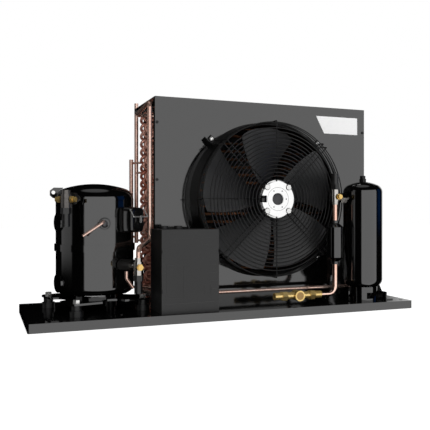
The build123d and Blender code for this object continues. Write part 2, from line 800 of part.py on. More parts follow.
# Terminal box on the shell, its cover, and the wire bail that swings up to free the cover
box_angle = -48
box_rise = deck + 243
box_half = 29.5
box_reach = shell_radius + 40
with BuildPart() as terminal_box:
    with BuildSketch(facing(*shell_point(box_reach, box_angle), box_rise, box_angle)):
        Rectangle(2 * box_half, 68)
    extrude(amount=-50)
    add(shell_form(seat_gap).part, mode=Mode.SUBTRACT)
    with BuildSketch(facing(*shell_point(box_reach, box_angle), box_rise, box_angle)):
        Rectangle(2 * box_half - 5, 63)
    extrude(amount=-30, mode=Mode.SUBTRACT)
    with BuildSketch(Plane(origin=(*shell_point(box_reach - 6, box_angle), box_rise + 27),
                           x_dir=(0, 0, 1), z_dir=(-sin(radians(box_angle)), cos(radians(box_angle)), 0))):
        Circle(bail_radius + running_gap)
    extrude(amount=2 * box_half, both=True, mode=Mode.SUBTRACT)
terminal_box.part.label = "terminal_box"
export_step(terminal_box.part, "parts/terminal_box.step")

with BuildPart() as terminal_cover:
    with BuildSketch(facing(*shell_point(box_reach, box_angle), box_rise, box_angle)):
        RectangleRounded(2 * box_half, 68, 4)
    extrude(amount=3)
    with BuildSketch(facing(*shell_point(box_reach, box_angle), box_rise, box_angle)):
        Rectangle(2 * box_half - 6, 62)
        Rectangle(2 * box_half - 10, 58, mode=Mode.SUBTRACT)
    extrude(amount=-2)
terminal_cover.part.label = "terminal_cover"
export_step(terminal_cover.part, "parts/terminal_cover.step")


def box_point(side, out, rise):
    """Point on the terminal box: sideways, outwards from its face, and up from its middle."""
    turn = radians(box_angle)
    x, y = shell_point(box_reach + out, box_angle)
    return x - side * sin(turn), y + side * cos(turn), box_rise + rise


with BuildPart() as terminal_bail:
    side = box_half + bail_radius + 1
    add(tube([box_point(box_half - 2, -6, 27), box_point(side, -6, 27), box_point(side, 6, 8),
              box_point(-side, 6, 8), box_point(-side, -6, 27), box_point(2 - box_half, -6, 27)],
             1.8, bail_radius).part)
    with BuildSketch(facing(*box_point(0, 7.2, 0)[:2], box_rise, box_angle)):
        with Locations((0, 2)):
            Rectangle(8, 18)
    extrude(amount=-2.4)
terminal_bail.part.label = "terminal_bail"
export_step(terminal_bail.part, "parts/terminal_bail.step")

# ---------------------------------------------------------------- service valves
# Each valve is drawn with its host along -X, its socket up and its spindle down


def valve_body(arm, bore, port_angles):
    """Barrel with socket above, spindle neck below, arm to the host and gauge ports."""
    with BuildPart() as body:
        with BuildSketch(Plane.XY.offset(-24)):
            Circle(barrel_radius)
        extrude(amount=34)
        with BuildSketch(Plane.XY.offset(10)):
            Circle(bore + 3)
        extrude(amount=10)
        with BuildSketch(Plane.XY.offset(-34)):
            Circle(neck_radius)
        extrude(amount=10)
        with BuildSketch(Plane.YZ):
            Circle(arm_radius)
        extrude(amount=-arm)
        for angle in port_angles:
            with BuildSketch(facing(0, 0, -3, angle)):
                Circle(port_radius)
            extrude(amount=barrel_radius + 6)
        with BuildSketch(Plane.XY.offset(20)):
            Circle(bore)
        extrude(amount=-16, mode=Mode.SUBTRACT)
        with BuildSketch(Plane.XY.offset(-34)):
            Circle(spindle_radius + running_gap)
        extrude(amount=32, mode=Mode.SUBTRACT)
    return body


def gauge_cap(angle):
    """Brass cap over one gauge port: hexagon with a round nose."""
    with BuildPart() as cap:
        with BuildSketch(facing(0, 0, -3, angle).offset(barrel_radius + 0.5)):
            RegularPolygon(9, 6)
        extrude(amount=7)
        with BuildSketch(facing(0, 0, -3, angle).offset(barrel_radius + 0.5)):
            Circle(6.5)
        extrude(amount=14)
        with BuildSketch(facing(0, 0, -3, angle).offset(barrel_radius + 0.5)):
            Circle(port_radius + running_gap)
        extrude(amount=6, mode=Mode.SUBTRACT)
    return cap


def valve_collar(radius, sides, start, length):
    """Nut or adaptor round the arm between the barrel and the host."""
    with BuildPart() as collar:
        with BuildSketch(Plane.YZ.offset(-start)):
            RegularPolygon(radius, sides)
            Circle(arm_radius + seat_gap, mode=Mode.SUBTRACT)
        extrude(amount=-length)
    return collar


# Cap over the spindle: hexagon against the barrel, round beyond it
with BuildPart() as stem_cap:
    with BuildSketch(Plane.XY.offset(-24.1)):
        RegularPolygon(13.5, 6)
    extrude(amount=-15)
    with BuildSketch(Plane.XY.offset(-24.1)):
        Circle(10.5)
    extrude(amount=-cap_length)
    with BuildSketch(Plane.XY.offset(-24.1)):
        Circle(neck_radius + running_gap)
    extrude(amount=-10.5, mode=Mode.SUBTRACT)
    with BuildSketch(Plane.XY.offset(-24.1)):
        Circle(spindle_radius + seat_gap)
    extrude(amount=-24, mode=Mode.SUBTRACT)

with BuildPart() as spindle:
    with BuildSketch(Plane.XY.offset(-44)):
        Circle(spindle_radius)
    extrude(amount=40)
    with BuildSketch(Plane.XY.offset(-44)):
        Rectangle(1.6, 2 * spindle_radius + 1)
    extrude(amount=3, mode=Mode.SUBTRACT)

# Suction valve stands off the upper shell with its socket open upwards
suction_spot = (-455, -118, deck + 298)
suction_place = Location(suction_spot, (0, 0, -125.5))
with BuildPart() as suction_valve_body:
    with Locations(suction_place):
        add(valve_body(64, 8, (90, -90)).part)
    add(shell_form(seat_gap).part, mode=Mode.SUBTRACT)
suction_valve_body.part.label = "suction_valve_body"
export_step(suction_valve_body.part, "parts/suction_valve_body.step")

nut = valve_collar(17, 6, 24, 16)
with BuildPart() as suction_valve_nut:
    with Locations(suction_place):
        add(nut.part)
suction_valve_nut.part.label = "suction_valve_nut"
export_step(suction_valve_nut.part, "parts/suction_valve_nut.step")

with BuildPart() as suction_stem_cap:
    with Locations(suction_place):
        add(stem_cap.part)
suction_stem_cap.part.label = "suction_stem_cap"
export_step(suction_stem_cap.part, "parts/suction_stem_cap.step")

with BuildPart() as suction_spindle:
    with Locations(suction_place):
        add(spindle.part)
suction_spindle.part.label = "suction_spindle"
export_step(suction_spindle.part, "parts/suction_spindle.step")

with BuildPart() as suction_gauge_caps:
    with Locations(suction_place):
        add(gauge_cap(90).part)
        add(gauge_cap(-90).part)
suction_gauge_caps.part.label = "suction_gauge_caps"
export_step(suction_gauge_caps.part, "parts/suction_gauge_caps.step")

# Discharge valve stands off the lower shell on a plain round adaptor
discharge_place = Location((discharge_x, discharge_y, discharge_z), (0, 0, -60.1))
with BuildPart() as discharge_valve_body:
    with Locations(discharge_place):
        add(valve_body(72, gas_tube + seat_gap, (-30,)).part)
    add(shell_form(seat_gap).part, mode=Mode.SUBTRACT)
discharge_valve_body.part.label = "discharge_valve_body"
export_step(discharge_valve_body.part, "parts/discharge_valve_body.step")

adaptor = valve_collar(15, 24, 20, 44)
with BuildPart() as discharge_valve_nut:
    with Locations(discharge_place):
        add(adaptor.part)
discharge_valve_nut.part.label = "discharge_valve_nut"
export_step(discharge_valve_nut.part, "parts/discharge_valve_nut.step")

with BuildPart() as discharge_stem_cap:
    with Locations(discharge_place):
        add(stem_cap.part)
discharge_stem_cap.part.label = "discharge_stem_cap"
export_step(discharge_stem_cap.part, "parts/discharge_stem_cap.step")

with BuildPart() as discharge_spindle:
    with Locations(discharge_place):
        add(spindle.part)
discharge_spindle.part.label = "discharge_spindle"
export_step(discharge_spindle.part, "parts/discharge_spindle.step")

with BuildPart() as discharge_gauge_cap:
    with Locations(discharge_place):
        add(gauge_cap(-30).part)
discharge_gauge_cap.part.label = "discharge_gauge_cap"
export_step(discharge_gauge_cap.part, "parts/discharge_gauge_cap.step")

# Sealed copper stub hooked down from the adaptor
stub_x = discharge_x - 26
stub_y = discharge_y + 20
with BuildPart() as service_stub:
    add(tube([(stub_x, stub_y, discharge_z - 15.3), (stub_x, stub_y, discharge_z - 34),
              (stub_x + 16, stub_y - 10, discharge_z - 58)], 8, 4.5).part)
service_stub.part.label = "service_stub"
export_step(service_stub.part, "parts/service_stub.step")

# ---------------------------------------------------------------- receiver
vessel_low = deck + rec_bottom
vessel_high = deck + rec_top


def vessel(radius, low, high):
    """Half outline of the receiver; drawn in radius and height."""
    with BuildSketch() as outline:
        with BuildLine():
            Line((0, low), (0, high))
            TangentArc((0, high), (radius * 0.8, high - 11), tangent=(1, 0))
            ThreePointArc((radius * 0.8, high - 11), (radius * 0.95, high - 20), (radius, high - 34))
            Line((radius, high - 34), (radius, low + 34))
            ThreePointArc((radius, low + 34), (radius * 0.95, low + 20), (radius * 0.8, low + 11))
            TangentArc((0, low), (radius * 0.8, low + 11), tangent=(1, 0))
        make_face()
    return outline


rec_plane = Plane(origin=(rec_x, rec_y, 0), x_dir=(1, 0, 0), z_dir=(0, -1, 0))
rec_axis = Axis((rec_x, rec_y, 0), (0, 0, 1))


def vessel_form(grow):
    """Solid of the receiver's outside, offset outwards by grow."""
    with BuildPart() as form:
        with BuildSketch(rec_plane):
            add(vessel(rec_radius + grow, vessel_low - grow, vessel_high + grow).sketch)
        revolve(axis=rec_axis)
    return form


with BuildPart() as receiver_shell:
    with BuildSketch(rec_plane):
        add(vessel(rec_radius, vessel_low, vessel_high).sketch)
        add(vessel(rec_radius - rec_wall, vessel_low + rec_wall, vessel_high - rec_wall).sketch,
            mode=Mode.SUBTRACT)
    revolve(axis=rec_axis)
    with BuildSketch(facing(rec_x, rec_y + rec_radius - 2, socket_level, 90)):
        Circle(9)
    extrude(amount=9)
    with BuildSketch(facing(rec_x, rec_y + rec_radius, socket_level, 90)):
        Circle(line_tube + seat_gap)
    extrude(amount=8, mode=Mode.SUBTRACT)
receiver_shell.part.label = "receiver_shell"
export_step(receiver_shell.part, "parts/receiver_shell.step")

# Foot ring under the receiver, cut to its dished end, with four windows
foot_ring = rec_radius - 15
with BuildPart() as receiver_foot:
    with BuildSketch(Plane.XY.offset(deck)):
        with Locations((rec_x, rec_y)):
            Circle(foot_ring)
            Circle(foot_ring - rec_wall, mode=Mode.SUBTRACT)
    extrude(amount=2 * rec_bottom)
    add(vessel_form(seat_gap).part, mode=Mode.SUBTRACT)
    with BuildSketch(Plane.XY.offset(deck + 8)):
        with Locations((rec_x, rec_y)):
            Rectangle(3 * foot_ring, 26)
            Rectangle(26, 3 * foot_ring)
    extrude(amount=18, mode=Mode.SUBTRACT)
receiver_foot.part.label = "receiver_foot"
export_step(receiver_foot.part, "parts/receiver_foot.step")

with BuildPart() as relief_plug:
    with BuildSketch(Plane.XY.offset(vessel_high - 1)):
        with Locations((rec_x, rec_y)):
            RegularPolygon(11, 6)
    extrude(amount=10)
    with BuildSketch(Plane.XY.offset(vessel_high)):
        with Locations((rec_x, rec_y)):
            Circle(8)
    extrude(amount=18)
    add(vessel_form(seat_gap).part, mode=Mode.SUBTRACT)
relief_plug.part.label = "relief_plug"
export_step(relief_plug.part, "parts/relief_plug.step")

# Receiver valve is the same valve turned over, with its spindle on top
receiver_place = Location((valve_x, valve_y, deck + 305), (180, 0, 173.8))
with BuildPart() as receiver_valve_body:
    with Locations(receiver_place):
        add(valve_body(50, liquid_tube + seat_gap, (-90,)).part)
    add(vessel_form(seat_gap).part, mode=Mode.SUBTRACT)
receiver_valve_body.part.label = "receiver_valve_body"
export_step(receiver_valve_body.part, "parts/receiver_valve_body.step")

receiver_nut_ring = valve_collar(16, 6, 15, 22)
with BuildPart() as receiver_valve_nut:
    with Locations(receiver_place):
        add(receiver_nut_ring.part)
receiver_valve_nut.part.label = "receiver_valve_nut"
export_step(receiver_valve_nut.part, "parts/receiver_valve_nut.step")

with BuildPart() as receiver_stem_cap:
    with Locations(receiver_place):
        add(stem_cap.part)
receiver_stem_cap.part.label = "receiver_stem_cap"
export_step(receiver_stem_cap.part, "parts/receiver_stem_cap.step")

with BuildPart() as receiver_spindle:
    with Locations(receiver_place):
        add(spindle.part)
receiver_spindle.part.label = "receiver_spindle"
export_step(receiver_spindle.part, "parts/receiver_spindle.step")

with BuildPart() as receiver_gauge_cap:
    with Locations(receiver_place):
        add(gauge_cap(-90).part)
receiver_gauge_cap.part.label = "receiver_gauge_cap"
export_step(receiver_gauge_cap.part, "parts/receiver_gauge_cap.step")

# ---------------------------------------------------------------- drier and sight glass
drier_low = deck + 111
drier_high = deck + 239
glass_level = deck + 25
glass_x = 270
with BuildPart() as filter_drier:
    with BuildSketch(Plane(origin=(valve_x, valve_y, 0), x_dir=(1, 0, 0), z_dir=(0, -1, 0))):
        with BuildLine():
            Polyline((0, drier_low), (liquid_tube + 3, drier_low), (liquid_tube + 3, drier_low + 8),
                     (drier_radius, drier_low + 20), (drier_radius, drier_high - 20),
                     (liquid_tube + 3, drier_high - 8), (liquid_tube + 3, drier_high),
                     (0, drier_high), close=True)
        make_face()
    revolve(axis=Axis((valve_x, valve_y, 0), (0, 0, 1)))
    with BuildSketch(Plane.XY.offset(drier_low)):
        with Locations((valve_x, valve_y)):
            Circle(liquid_tube + seat_gap)
    extrude(amount=10, mode=Mode.SUBTRACT)
    with BuildSketch(Plane.XY.offset(drier_high)):
        with Locations((valve_x, valve_y)):
            Circle(liquid_tube + seat_gap)
    extrude(amount=-10, mode=Mode.SUBTRACT)
filter_drier.part.label = "filter_drier"
export_step(filter_drier.part, "parts/filter_drier.step")

with BuildPart() as drier_inlet_tube:
    with BuildSketch(Plane.XY.offset(drier_high - 10)):
        with Locations((valve_x, valve_y)):
            Circle(liquid_tube)
            Circle(liquid_tube - 1, mode=Mode.SUBTRACT)
    extrude(amount=deck + 285 + 16 - drier_high + 10)
drier_inlet_tube.part.label = "drier_inlet_tube"
export_step(drier_inlet_tube.part, "parts/drier_inlet_tube.step")

with BuildPart() as drier_outlet_tube:
    add(tube([(valve_x, valve_y, drier_low + 10), (valve_x, valve_y, glass_level),
              (glass_x - 12, valve_y, glass_level)], 24, liquid_tube).part)
drier_outlet_tube.part.label = "drier_outlet_tube"
export_step(drier_outlet_tube.part, "parts/drier_outlet_tube.step")

# Brass sight glass: a tube with two nuts and a round window body in the middle
with BuildPart() as sight_glass_body:
    with BuildSketch(Plane(origin=(glass_x, valve_y, glass_level), x_dir=(0, 1, 0), z_dir=(-1, 0, 0))):
        Circle(liquid_tube + 2.5)
    extrude(amount=glass_length)
    with BuildSketch(Plane(origin=(glass_x - 22, valve_y, glass_level), x_dir=(0, 1, 0), z_dir=(-1, 0, 0))):
        RegularPolygon(14, 6)
    extrude(amount=16)
    with BuildSketch(Plane(origin=(glass_x - glass_length + 38, valve_y, glass_level),
                           x_dir=(0, 1, 0), z_dir=(-1, 0, 0))):
        RegularPolygon(14, 6)
    extrude(amount=16)
    with BuildSketch(facing(glass_x - glass_length / 2, valve_y, glass_level, -90)):
        Circle(window_radius)
    extrude(amount=16, both=True)
    with BuildSketch(facing(glass_x - glass_length / 2, valve_y - 16, glass_level, -90)):
        Circle(window_radius - 4)
    extrude(amount=-4, mode=Mode.SUBTRACT)
    with BuildSketch(Plane(origin=(glass_x, valve_y, glass_level), x_dir=(0, 1, 0), z_dir=(-1, 0, 0))):
        Circle(liquid_tube + seat_gap)
    extrude(amount=14, mode=Mode.SUBTRACT)
    with BuildSketch(Plane(origin=(glass_x - glass_length, valve_y, glass_level),
                           x_dir=(0, 1, 0), z_dir=(1, 0, 0))):
        Circle(liquid_tube)
    extrude(amount=24, mode=Mode.SUBTRACT)
sight_glass_body.part.label = "sight_glass_body"
export_step(sight_glass_body.part, "parts/sight_glass_body.step")

with BuildPart() as sight_glass_lens:
    with BuildSketch(facing(glass_x - glass_length / 2, valve_y - 12, glass_level, -90)):
        Circle(window_radius - 4 - seat_gap)
    extrude(amount=3)
sight_glass_lens.part.label = "sight_glass_lens"
export_step(sight_glass_lens.part, "parts/sight_glass_lens.step")

# ---------------------------------------------------------------- electrical box
lid_level = deck + box_height - lid_height
box_middle_x = box_left + box_width / 2
box_middle_y = box_front + box_depth / 2
with BuildPart() as ebox_base:
    with BuildSketch(Plane.XY.offset(deck)):
        with Locations((box_middle_x, box_middle_y)):
            Rectangle(box_width, box_depth)
            Rectangle(box_width - 2 * box_wall, box_depth - 2 * box_wall, mode=Mode.SUBTRACT)
    extrude(amount=lid_level - deck)
    with BuildSketch(Plane.XY.offset(deck)):
        with Locations((box_middle_x, box_middle_y)):
            Rectangle(box_width, box_depth)
    extrude(amount=box_wall)
    for share in (0.25, 0.72):
        with BuildSketch(Plane.XY.offset(deck + share * box_height)):
            with Locations((box_left, box_front), (box_left + box_width, box_front)):
                Rectangle(3, 3, rotation=45)
        extrude(amount=8, mode=Mode.SUBTRACT)
ebox_base.part.label = "ebox_base"
export_step(ebox_base.part, "parts/ebox_base.step")

with BuildPart() as ebox_cover:
    with BuildSketch(Plane.XY.offset(lid_level)):
        with Locations((box_middle_x, box_middle_y)):
            Rectangle(box_width, box_depth)
    extrude(amount=lid_height)
    with BuildSketch(Plane.XY.offset(lid_level)):
        with Locations((box_middle_x, box_middle_y)):
            Rectangle(box_width - 2 * box_wall, box_depth - 2 * box_wall)
    extrude(amount=lid_height - box_wall, mode=Mode.SUBTRACT)
    with BuildSketch(Plane.XY.offset(lid_level - 6)):
        with Locations((box_middle_x, box_middle_y)):
            Rectangle(box_width - 2 * box_wall - 1, box_depth - 2 * box_wall - 1)
            Rectangle(box_width - 4 * box_wall - 1, box_depth - 4 * box_wall - 1, mode=Mode.SUBTRACT)
    extrude(amount=lid_height + 4)
    with BuildSketch(Plane.XY.offset(deck + box_height)):
        with Locations(*gland_places):
            Circle(gland_radius, mode=Mode.ADD)
    extrude(amount=-2 * lid_height, mode=Mode.SUBTRACT)
ebox_cover.part.label = "ebox_cover"
export_step(ebox_cover.part, "parts/ebox_cover.step")

with BuildPart() as ebox_glands:
    with BuildSketch(Plane.XY.offset(deck + box_height)):
        with Locations(*gland_places):
            Circle(gland_radius + 3)
    extrude(amount=8)
    with BuildSketch(Plane.XY.offset(deck + box_height)):
        with Locations(*gland_places):
            Circle(gland_radius - seat_gap)
    extrude(amount=-lid_height)
ebox_glands.part.label = "ebox_glands"
export_step(ebox_glands.part, "parts/ebox_glands.step")

with BuildPart() as ebox_contactor:
    with BuildSketch(Plane.XY.offset(deck + box_wall)):
        with Locations((box_middle_x, box_middle_y)):
            Rectangle(76, 62)
    extrude(amount=14)
    with BuildSketch(Plane.XY.offset(deck + box_wall + 14)):
        with Locations((box_middle_x, box_middle_y)):
            Rectangle(58, 46)
    extrude(amount=70)
ebox_contactor.part.label = "ebox_contactor"
export_step(ebox_contactor.part, "parts/ebox_contactor.step")
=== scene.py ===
import math

import bpy
import numpy as np
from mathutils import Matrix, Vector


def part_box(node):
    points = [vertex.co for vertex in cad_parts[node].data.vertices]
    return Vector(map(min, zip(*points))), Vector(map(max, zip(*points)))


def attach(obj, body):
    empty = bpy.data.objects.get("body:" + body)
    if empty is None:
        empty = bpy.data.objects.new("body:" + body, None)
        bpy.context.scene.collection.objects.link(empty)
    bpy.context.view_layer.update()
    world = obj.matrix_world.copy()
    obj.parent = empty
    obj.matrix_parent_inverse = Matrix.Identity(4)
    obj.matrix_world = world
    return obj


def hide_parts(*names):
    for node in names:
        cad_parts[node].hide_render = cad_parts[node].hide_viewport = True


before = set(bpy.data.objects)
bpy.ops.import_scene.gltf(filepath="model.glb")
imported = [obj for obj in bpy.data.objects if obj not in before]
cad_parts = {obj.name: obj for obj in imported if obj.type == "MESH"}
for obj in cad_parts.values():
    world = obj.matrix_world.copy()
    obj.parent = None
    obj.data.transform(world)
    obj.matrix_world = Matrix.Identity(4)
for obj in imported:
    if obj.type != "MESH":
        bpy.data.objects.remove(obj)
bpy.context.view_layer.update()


# ---------------------------------------------------------------- base tray
# The tray is folded from 2 mm steel sheet, dipped and stoved in gloss black lacquer, and
# drilled at its corners. Everything else is bolted down on it.
def linear(hex_colour):
    """Linear colour of an sRGB hex value."""
    parts = [int(hex_colour[i:i + 2], 16) / 255 for i in (1, 3, 5)]
    return [p / 12.92 if p <= 0.04045 else ((p + 0.055) / 1.055) ** 2.4 for p in parts] + [1.0]


def add(tree, kind, settings, links):
    """One node with its settings, which are attributes or sockets, and its incoming links."""
    made = tree.nodes.new(kind)
    for name, value in settings.items():
        if isinstance(name, str) and hasattr(made, name):
            setattr(made, name, value)
        else:
            made.inputs[name].default_value = value
    for name, source in links.items():
        tree.links.new(source, made.inputs[name])
    return made


def finish(name, colour, fleck, grain, metallic, smooth, rough, relief, ior=1.5,
           stretch=(1, 1, 1)):
    """Surface whose tint and relief follow one grain, given in metres and stretched along an
    axis. The tint runs from colour to fleck as grain times patch climbs the ramp, and the
    roughness from smooth to rough with the patches alone. A real grain under a millimetre is
    too fine to show, so it is drawn at one to ten millimetres."""
    patch_scale = 9.0               # patches are about a tenth of a metre wide
    ramp_start, ramp_end = 0.12, 0.45
    bump_strength = 0.35
    material = bpy.data.materials.new(name)
    material.use_nodes = True
    tree = material.node_tree
    tree.nodes.clear()
    place = add(tree, "ShaderNodeTexCoord", {}, {})
    turned = add(tree, "ShaderNodeMapping", {"Scale": stretch}, {"Vector": place.outputs["Object"]})
    grit = add(tree, "ShaderNodeTexNoise", {"Scale": 1 / grain, "Detail": 3.0, "Roughness": 0.6},
               {"Vector": turned.outputs[0]})
    patch = add(tree, "ShaderNodeTexNoise", {"Scale": patch_scale, "Detail": 2.0},
                {"Vector": turned.outputs[0]})
    blend = add(tree, "ShaderNodeMath", {"operation": "MULTIPLY"},
                {0: grit.outputs["Fac"], 1: patch.outputs["Fac"]})
    tint = add(tree, "ShaderNodeValToRGB", {}, {"Fac": blend.outputs[0]})
    tint.color_ramp.elements[0].position = ramp_start
    tint.color_ramp.elements[0].color = linear(colour)
    tint.color_ramp.elements[1].position = ramp_end
    tint.color_ramp.elements[1].color = linear(fleck)
    gloss = add(tree, "ShaderNodeMapRange", {"To Min": smooth, "To Max": rough},
                {"Value": patch.outputs["Fac"]})
    bump = add(tree, "ShaderNodeBump", {"Strength": bump_strength, "Distance": relief},
               {"Height": grit.outputs["Fac"]})
    shader = add(tree, "ShaderNodeBsdfPrincipled", {"Metallic": metallic, "IOR": ior},
                 {"Base Color": tint.outputs["Color"], "Roughness": gloss.outputs[0],
                  "Normal": bump.outputs[0]})
    add(tree, "ShaderNodeOutputMaterial", {}, {"Surface": shader.outputs[0]})
    return material


def dress(material, *names):
    """Gives a finish to carried pieces by name."""
    for name in names:
        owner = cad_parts[name]
        if not owner.material_slots:
            owner.data.materials.append(material)
        for held in owner.material_slots:
            held.material = material


# Stoved lacquer levels out almost to a mirror, so it shows black with sharp grey reflections
black_lacquer = finish("stoved_black_lacquer", "#050505", "#090909", 0.004, 0.0, 0.04, 0.09,
                       0.00001, 1.75)
dress(black_lacquer, "base_plate")

# ---------------------------------------------------------------- compressor
# Hermetic compressor: two deep-drawn steel shells welded at a rolled seam, enamelled black,
# on a square pressed foot with rubber mounts and plated bolts.
# Shell enamel: black and wet-looking, with bright edges where the domes turn
shell_enamel = finish("black_shell_enamel", "#040404", "#080808", 0.006, 0.0, 0.05, 0.10,
                      0.00002, 1.75)
dress(shell_enamel, "compressor_lower_shell", "compressor_upper_shell", "compressor_foot",
      "lifting_eye")
# Moulded rubber: dull, with a faint bloom
mount_rubber = finish("moulded_mount_rubber", "#0C0C0C", "#161616", 0.0015, 0.0, 0.35, 0.5,
                      0.00005)
dress(mount_rubber, "mount_grommets")
# Bright zinc plate over steel: cool silver with soft patches
zinc_plate = finish("bright_zinc_plate", "#C9C9C8", "#E6E5E2", 0.002, 0.75, 0.14, 0.3, 0.00003)
dress(zinc_plate, "mount_bolts", "terminal_bail")
# Grey cast iron, rough from the sand
cast_iron = finish("sand_cast_iron", "#3A3836", "#55524F", 0.003, 0.6, 0.5, 0.7, 0.0003)
dress(cast_iron, "compressor_pump")
# Drawn copper: salmon pink where bright, browner where it has been handled
drawn_copper = finish("drawn_copper", "#D3A795", "#EFD9CF", 0.004, 0.75, 0.10, 0.22, 0.00002)
dress(drawn_copper, "process_tube", "service_stub")
# Polished mould face on glass-filled polyamide: black with a wet-looking edge
moulded_black = finish("glossy_moulded_polyamide", "#0A0A0A", "#101010", 0.002, 0.0, 0.12, 0.22,
                       0.00003)
dress(moulded_black, "terminal_box", "terminal_cover")

shell_low, shell_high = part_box("compressor_upper_shell")
shell_x = (shell_low.x + shell_high.x) / 2
shell_y = (shell_low.y + shell_high.y) / 2
shell_radius = 0.1045


def new_piece(name, points, faces, body, material, smooth):
    """Mesh from points and four-sided faces, with its material, riding on a body."""
    mesh = bpy.data.meshes.new(name)
    mesh.from_pydata(points.reshape(-1, 3).tolist(), [], faces.reshape(-1, 4).tolist())
    mesh.polygons.foreach_set("use_smooth", np.full(len(mesh.polygons), smooth))
    mesh.materials.append(material)
    mesh.update()
    made = bpy.data.objects.new(name, mesh)
    bpy.context.scene.collection.objects.link(made)
    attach(made, body)
    return made


def mesh_piece(name, grids, body, material, looped=False, smooth=True):
    """Mesh from tube grids shaped (pieces, rows along, points round, 3), closed round and,
    where looped, along too. Seen from outside, rows run up while points run to the right."""
    index = np.arange(grids[..., 0].size).reshape(grids.shape[:3])
    ahead = np.roll(index, -1, axis=1)
    if not looped:
        index, ahead = index[:, :-1], ahead[:, :-1]
    faces = np.stack([index, np.roll(index, -1, axis=2), np.roll(ahead, -1, axis=2), ahead],
                     axis=-1)
    return new_piece(name, grids, faces, body, material, smooth)


def pressed_boss(heading, level, radii, heights, sides=36):
    """Turned form on the shell's side: a profile of radius and height spun about the line
    that points out of the shell at a heading in degrees from its right side."""
    turned = math.radians(heading)
    out = np.array([math.cos(turned), math.sin(turned), 0])
    side = np.array([-math.sin(turned), math.cos(turned), 0])
    spin = np.linspace(0, -2 * np.pi, sides, endpoint=False)[None, :, None]
    radii, heights = np.asarray(radii)[:, None, None], np.asarray(heights)[:, None, None]
    spot = np.array([shell_x, shell_y, level]) + (shell_radius + heights) * out
    return spot + radii * (np.cos(spin) * side + np.sin(spin) * [0, 0, 1])


# Pressed boss on the front of the shell, with a raised rim round a ground plug
boss_heading, boss_level = -86, 0.257
boss_ring = pressed_boss(boss_heading, boss_level, [0, 0.0085, 0.010, 0.0135, 0.0152, 0.0155],
                         [0.0012, 0.0012, 0.0034, 0.0034, 0.0022, -0.004])
shell_boss = mesh_piece("pressed_shell_boss", boss_ring[None], "unit", shell_enamel)
boss_cap = pressed_boss(boss_heading, boss_level, [0, 0.004, 0.0075, 0.0085],
                        [0.0038, 0.0036, 0.0028, 0.0002])
# Ground plug: a dark grey spot that is duller than the enamel round it
steel_grey = finish("ground_steel_plug", "#3E3E40", "#4C4C4E", 0.002, 0.6, 0.25, 0.35, 0.00004)
shell_plug = mesh_piece("ground_shell_plug", boss_cap[None], "unit", steel_grey)

# Rounded moulded cover over the terminals: a squared ellipse carried outwards from the shell
# and drawn in at its face
cover_heading = math.radians(-48)
cover_level = 0.266
cover_half_width, cover_half_height = 0.0302, 0.034
cover_power = 0.42                  # a power of 1 gives an ellipse, and 0 a rectangle
cover_out = np.array([math.cos(cover_heading), math.sin(cover_heading), 0])
cover_side = np.array([-math.sin(cover_heading), math.cos(cover_heading), 0])
cover_turn = np.linspace(0, 2 * np.pi, 64, endpoint=False)
squared = np.stack([np.sign(np.cos(cover_turn)) * np.abs(np.cos(cover_turn)) ** cover_power,
                    np.sign(np.sin(cover_turn)) * np.abs(np.sin(cover_turn)) ** cover_power],
                   axis=1)
cover_reach = np.array([0.104, 0.104, 0.120, 0.1205, 0.137, 0.1415, 0.1435, 0.144, 0.144])
cover_scale = np.array([0, 1.0, 1.0, 0.975, 0.96, 0.92, 0.84, 0.70, 0])
cover_outline = (cover_half_width * squared[None, :, :1] * cover_side
                 + cover_half_height * squared[None, :, 1:] * [0, 0, 1])
cover_grid = (np.array([shell_x, shell_y, cover_level]) + cover_reach[:, None, None] * cover_out
              + cover_scale[:, None, None] * cover_outline)
rounded_cover = mesh_piece("rounded_terminal_cover", cover_grid[None], "unit", moulded_black)
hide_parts("terminal_cover", "terminal_box")

# ---------------------------------------------------------------- service valves
# Three alike: a turned and plated steel body, a black plastic stem cap over its spindle,
# and hexagon brass caps on its gauge ports.
# Ground steel: a darker, browner grey than the plated bodies, with soft reflections
ground_steel = finish("ground_valve_steel", "#4E4B49", "#6B6764", 0.003, 0.6, 0.15, 0.3, 0.00002)
dress(ground_steel, "suction_valve_body")
# Nickel plate over turned steel: warmer and darker than zinc, with crisp reflections
nickel_plate = finish("bright_nickel_plate", "#A29E99", "#C4C0BB", 0.004, 1.0, 0.08, 0.2,
                      0.00001)
dress(nickel_plate, "discharge_valve_body", "receiver_valve_body", "suction_spindle",
      "discharge_spindle", "receiver_spindle", "receiver_valve_nut")
# Grey phosphate on the union nuts: dull and dark, with no clear reflection
phosphate = finish("grey_phosphate", "#3C3B3A", "#4A4846", 0.0015, 0.8, 0.3, 0.45, 0.00008)
dress(phosphate, "suction_valve_nut", "discharge_valve_nut")
# Moulded cap plastic: black with a soft sheen and a fine grain; the same black is painted shade on
# the moulded marks of the electrical box
cap_plastic_and_mark_shade = finish("moulded_cap_plastic_and_mark_shade", "#0B0B0B", "#151515", 0.001, 0.0, 0.25, 0.4, 0.00005)
dress(cap_plastic_and_mark_shade, "suction_stem_cap", "discharge_stem_cap", "receiver_stem_cap")
# Turned brass: yellow and bright, with fine tool rings
turned_brass = finish("turned_brass", "#CDA555", "#EBD292", 0.0012, 0.7, 0.15, 0.3, 0.00006)
dress(turned_brass, "suction_gauge_caps", "discharge_gauge_cap", "receiver_gauge_cap",
      "sight_glass_body")

# ---------------------------------------------------------------- casing
# Folded 1.2 mm steel panels in the same gloss lacquer as the tray, screwed at their edges.
# Panel lacquer: a little greyer than the tray's, so the big faces mirror the room
panel_lacquer = finish("stoved_panel_lacquer", "#0B0B0B", "#101010", 0.005, 0.0, 0.05, 0.10,
                       0.00001, 1.75)
dress(panel_lacquer, "fan_panel", "top_panel", "right_end_panel", "casing_floor",
      "gusset_bracket")
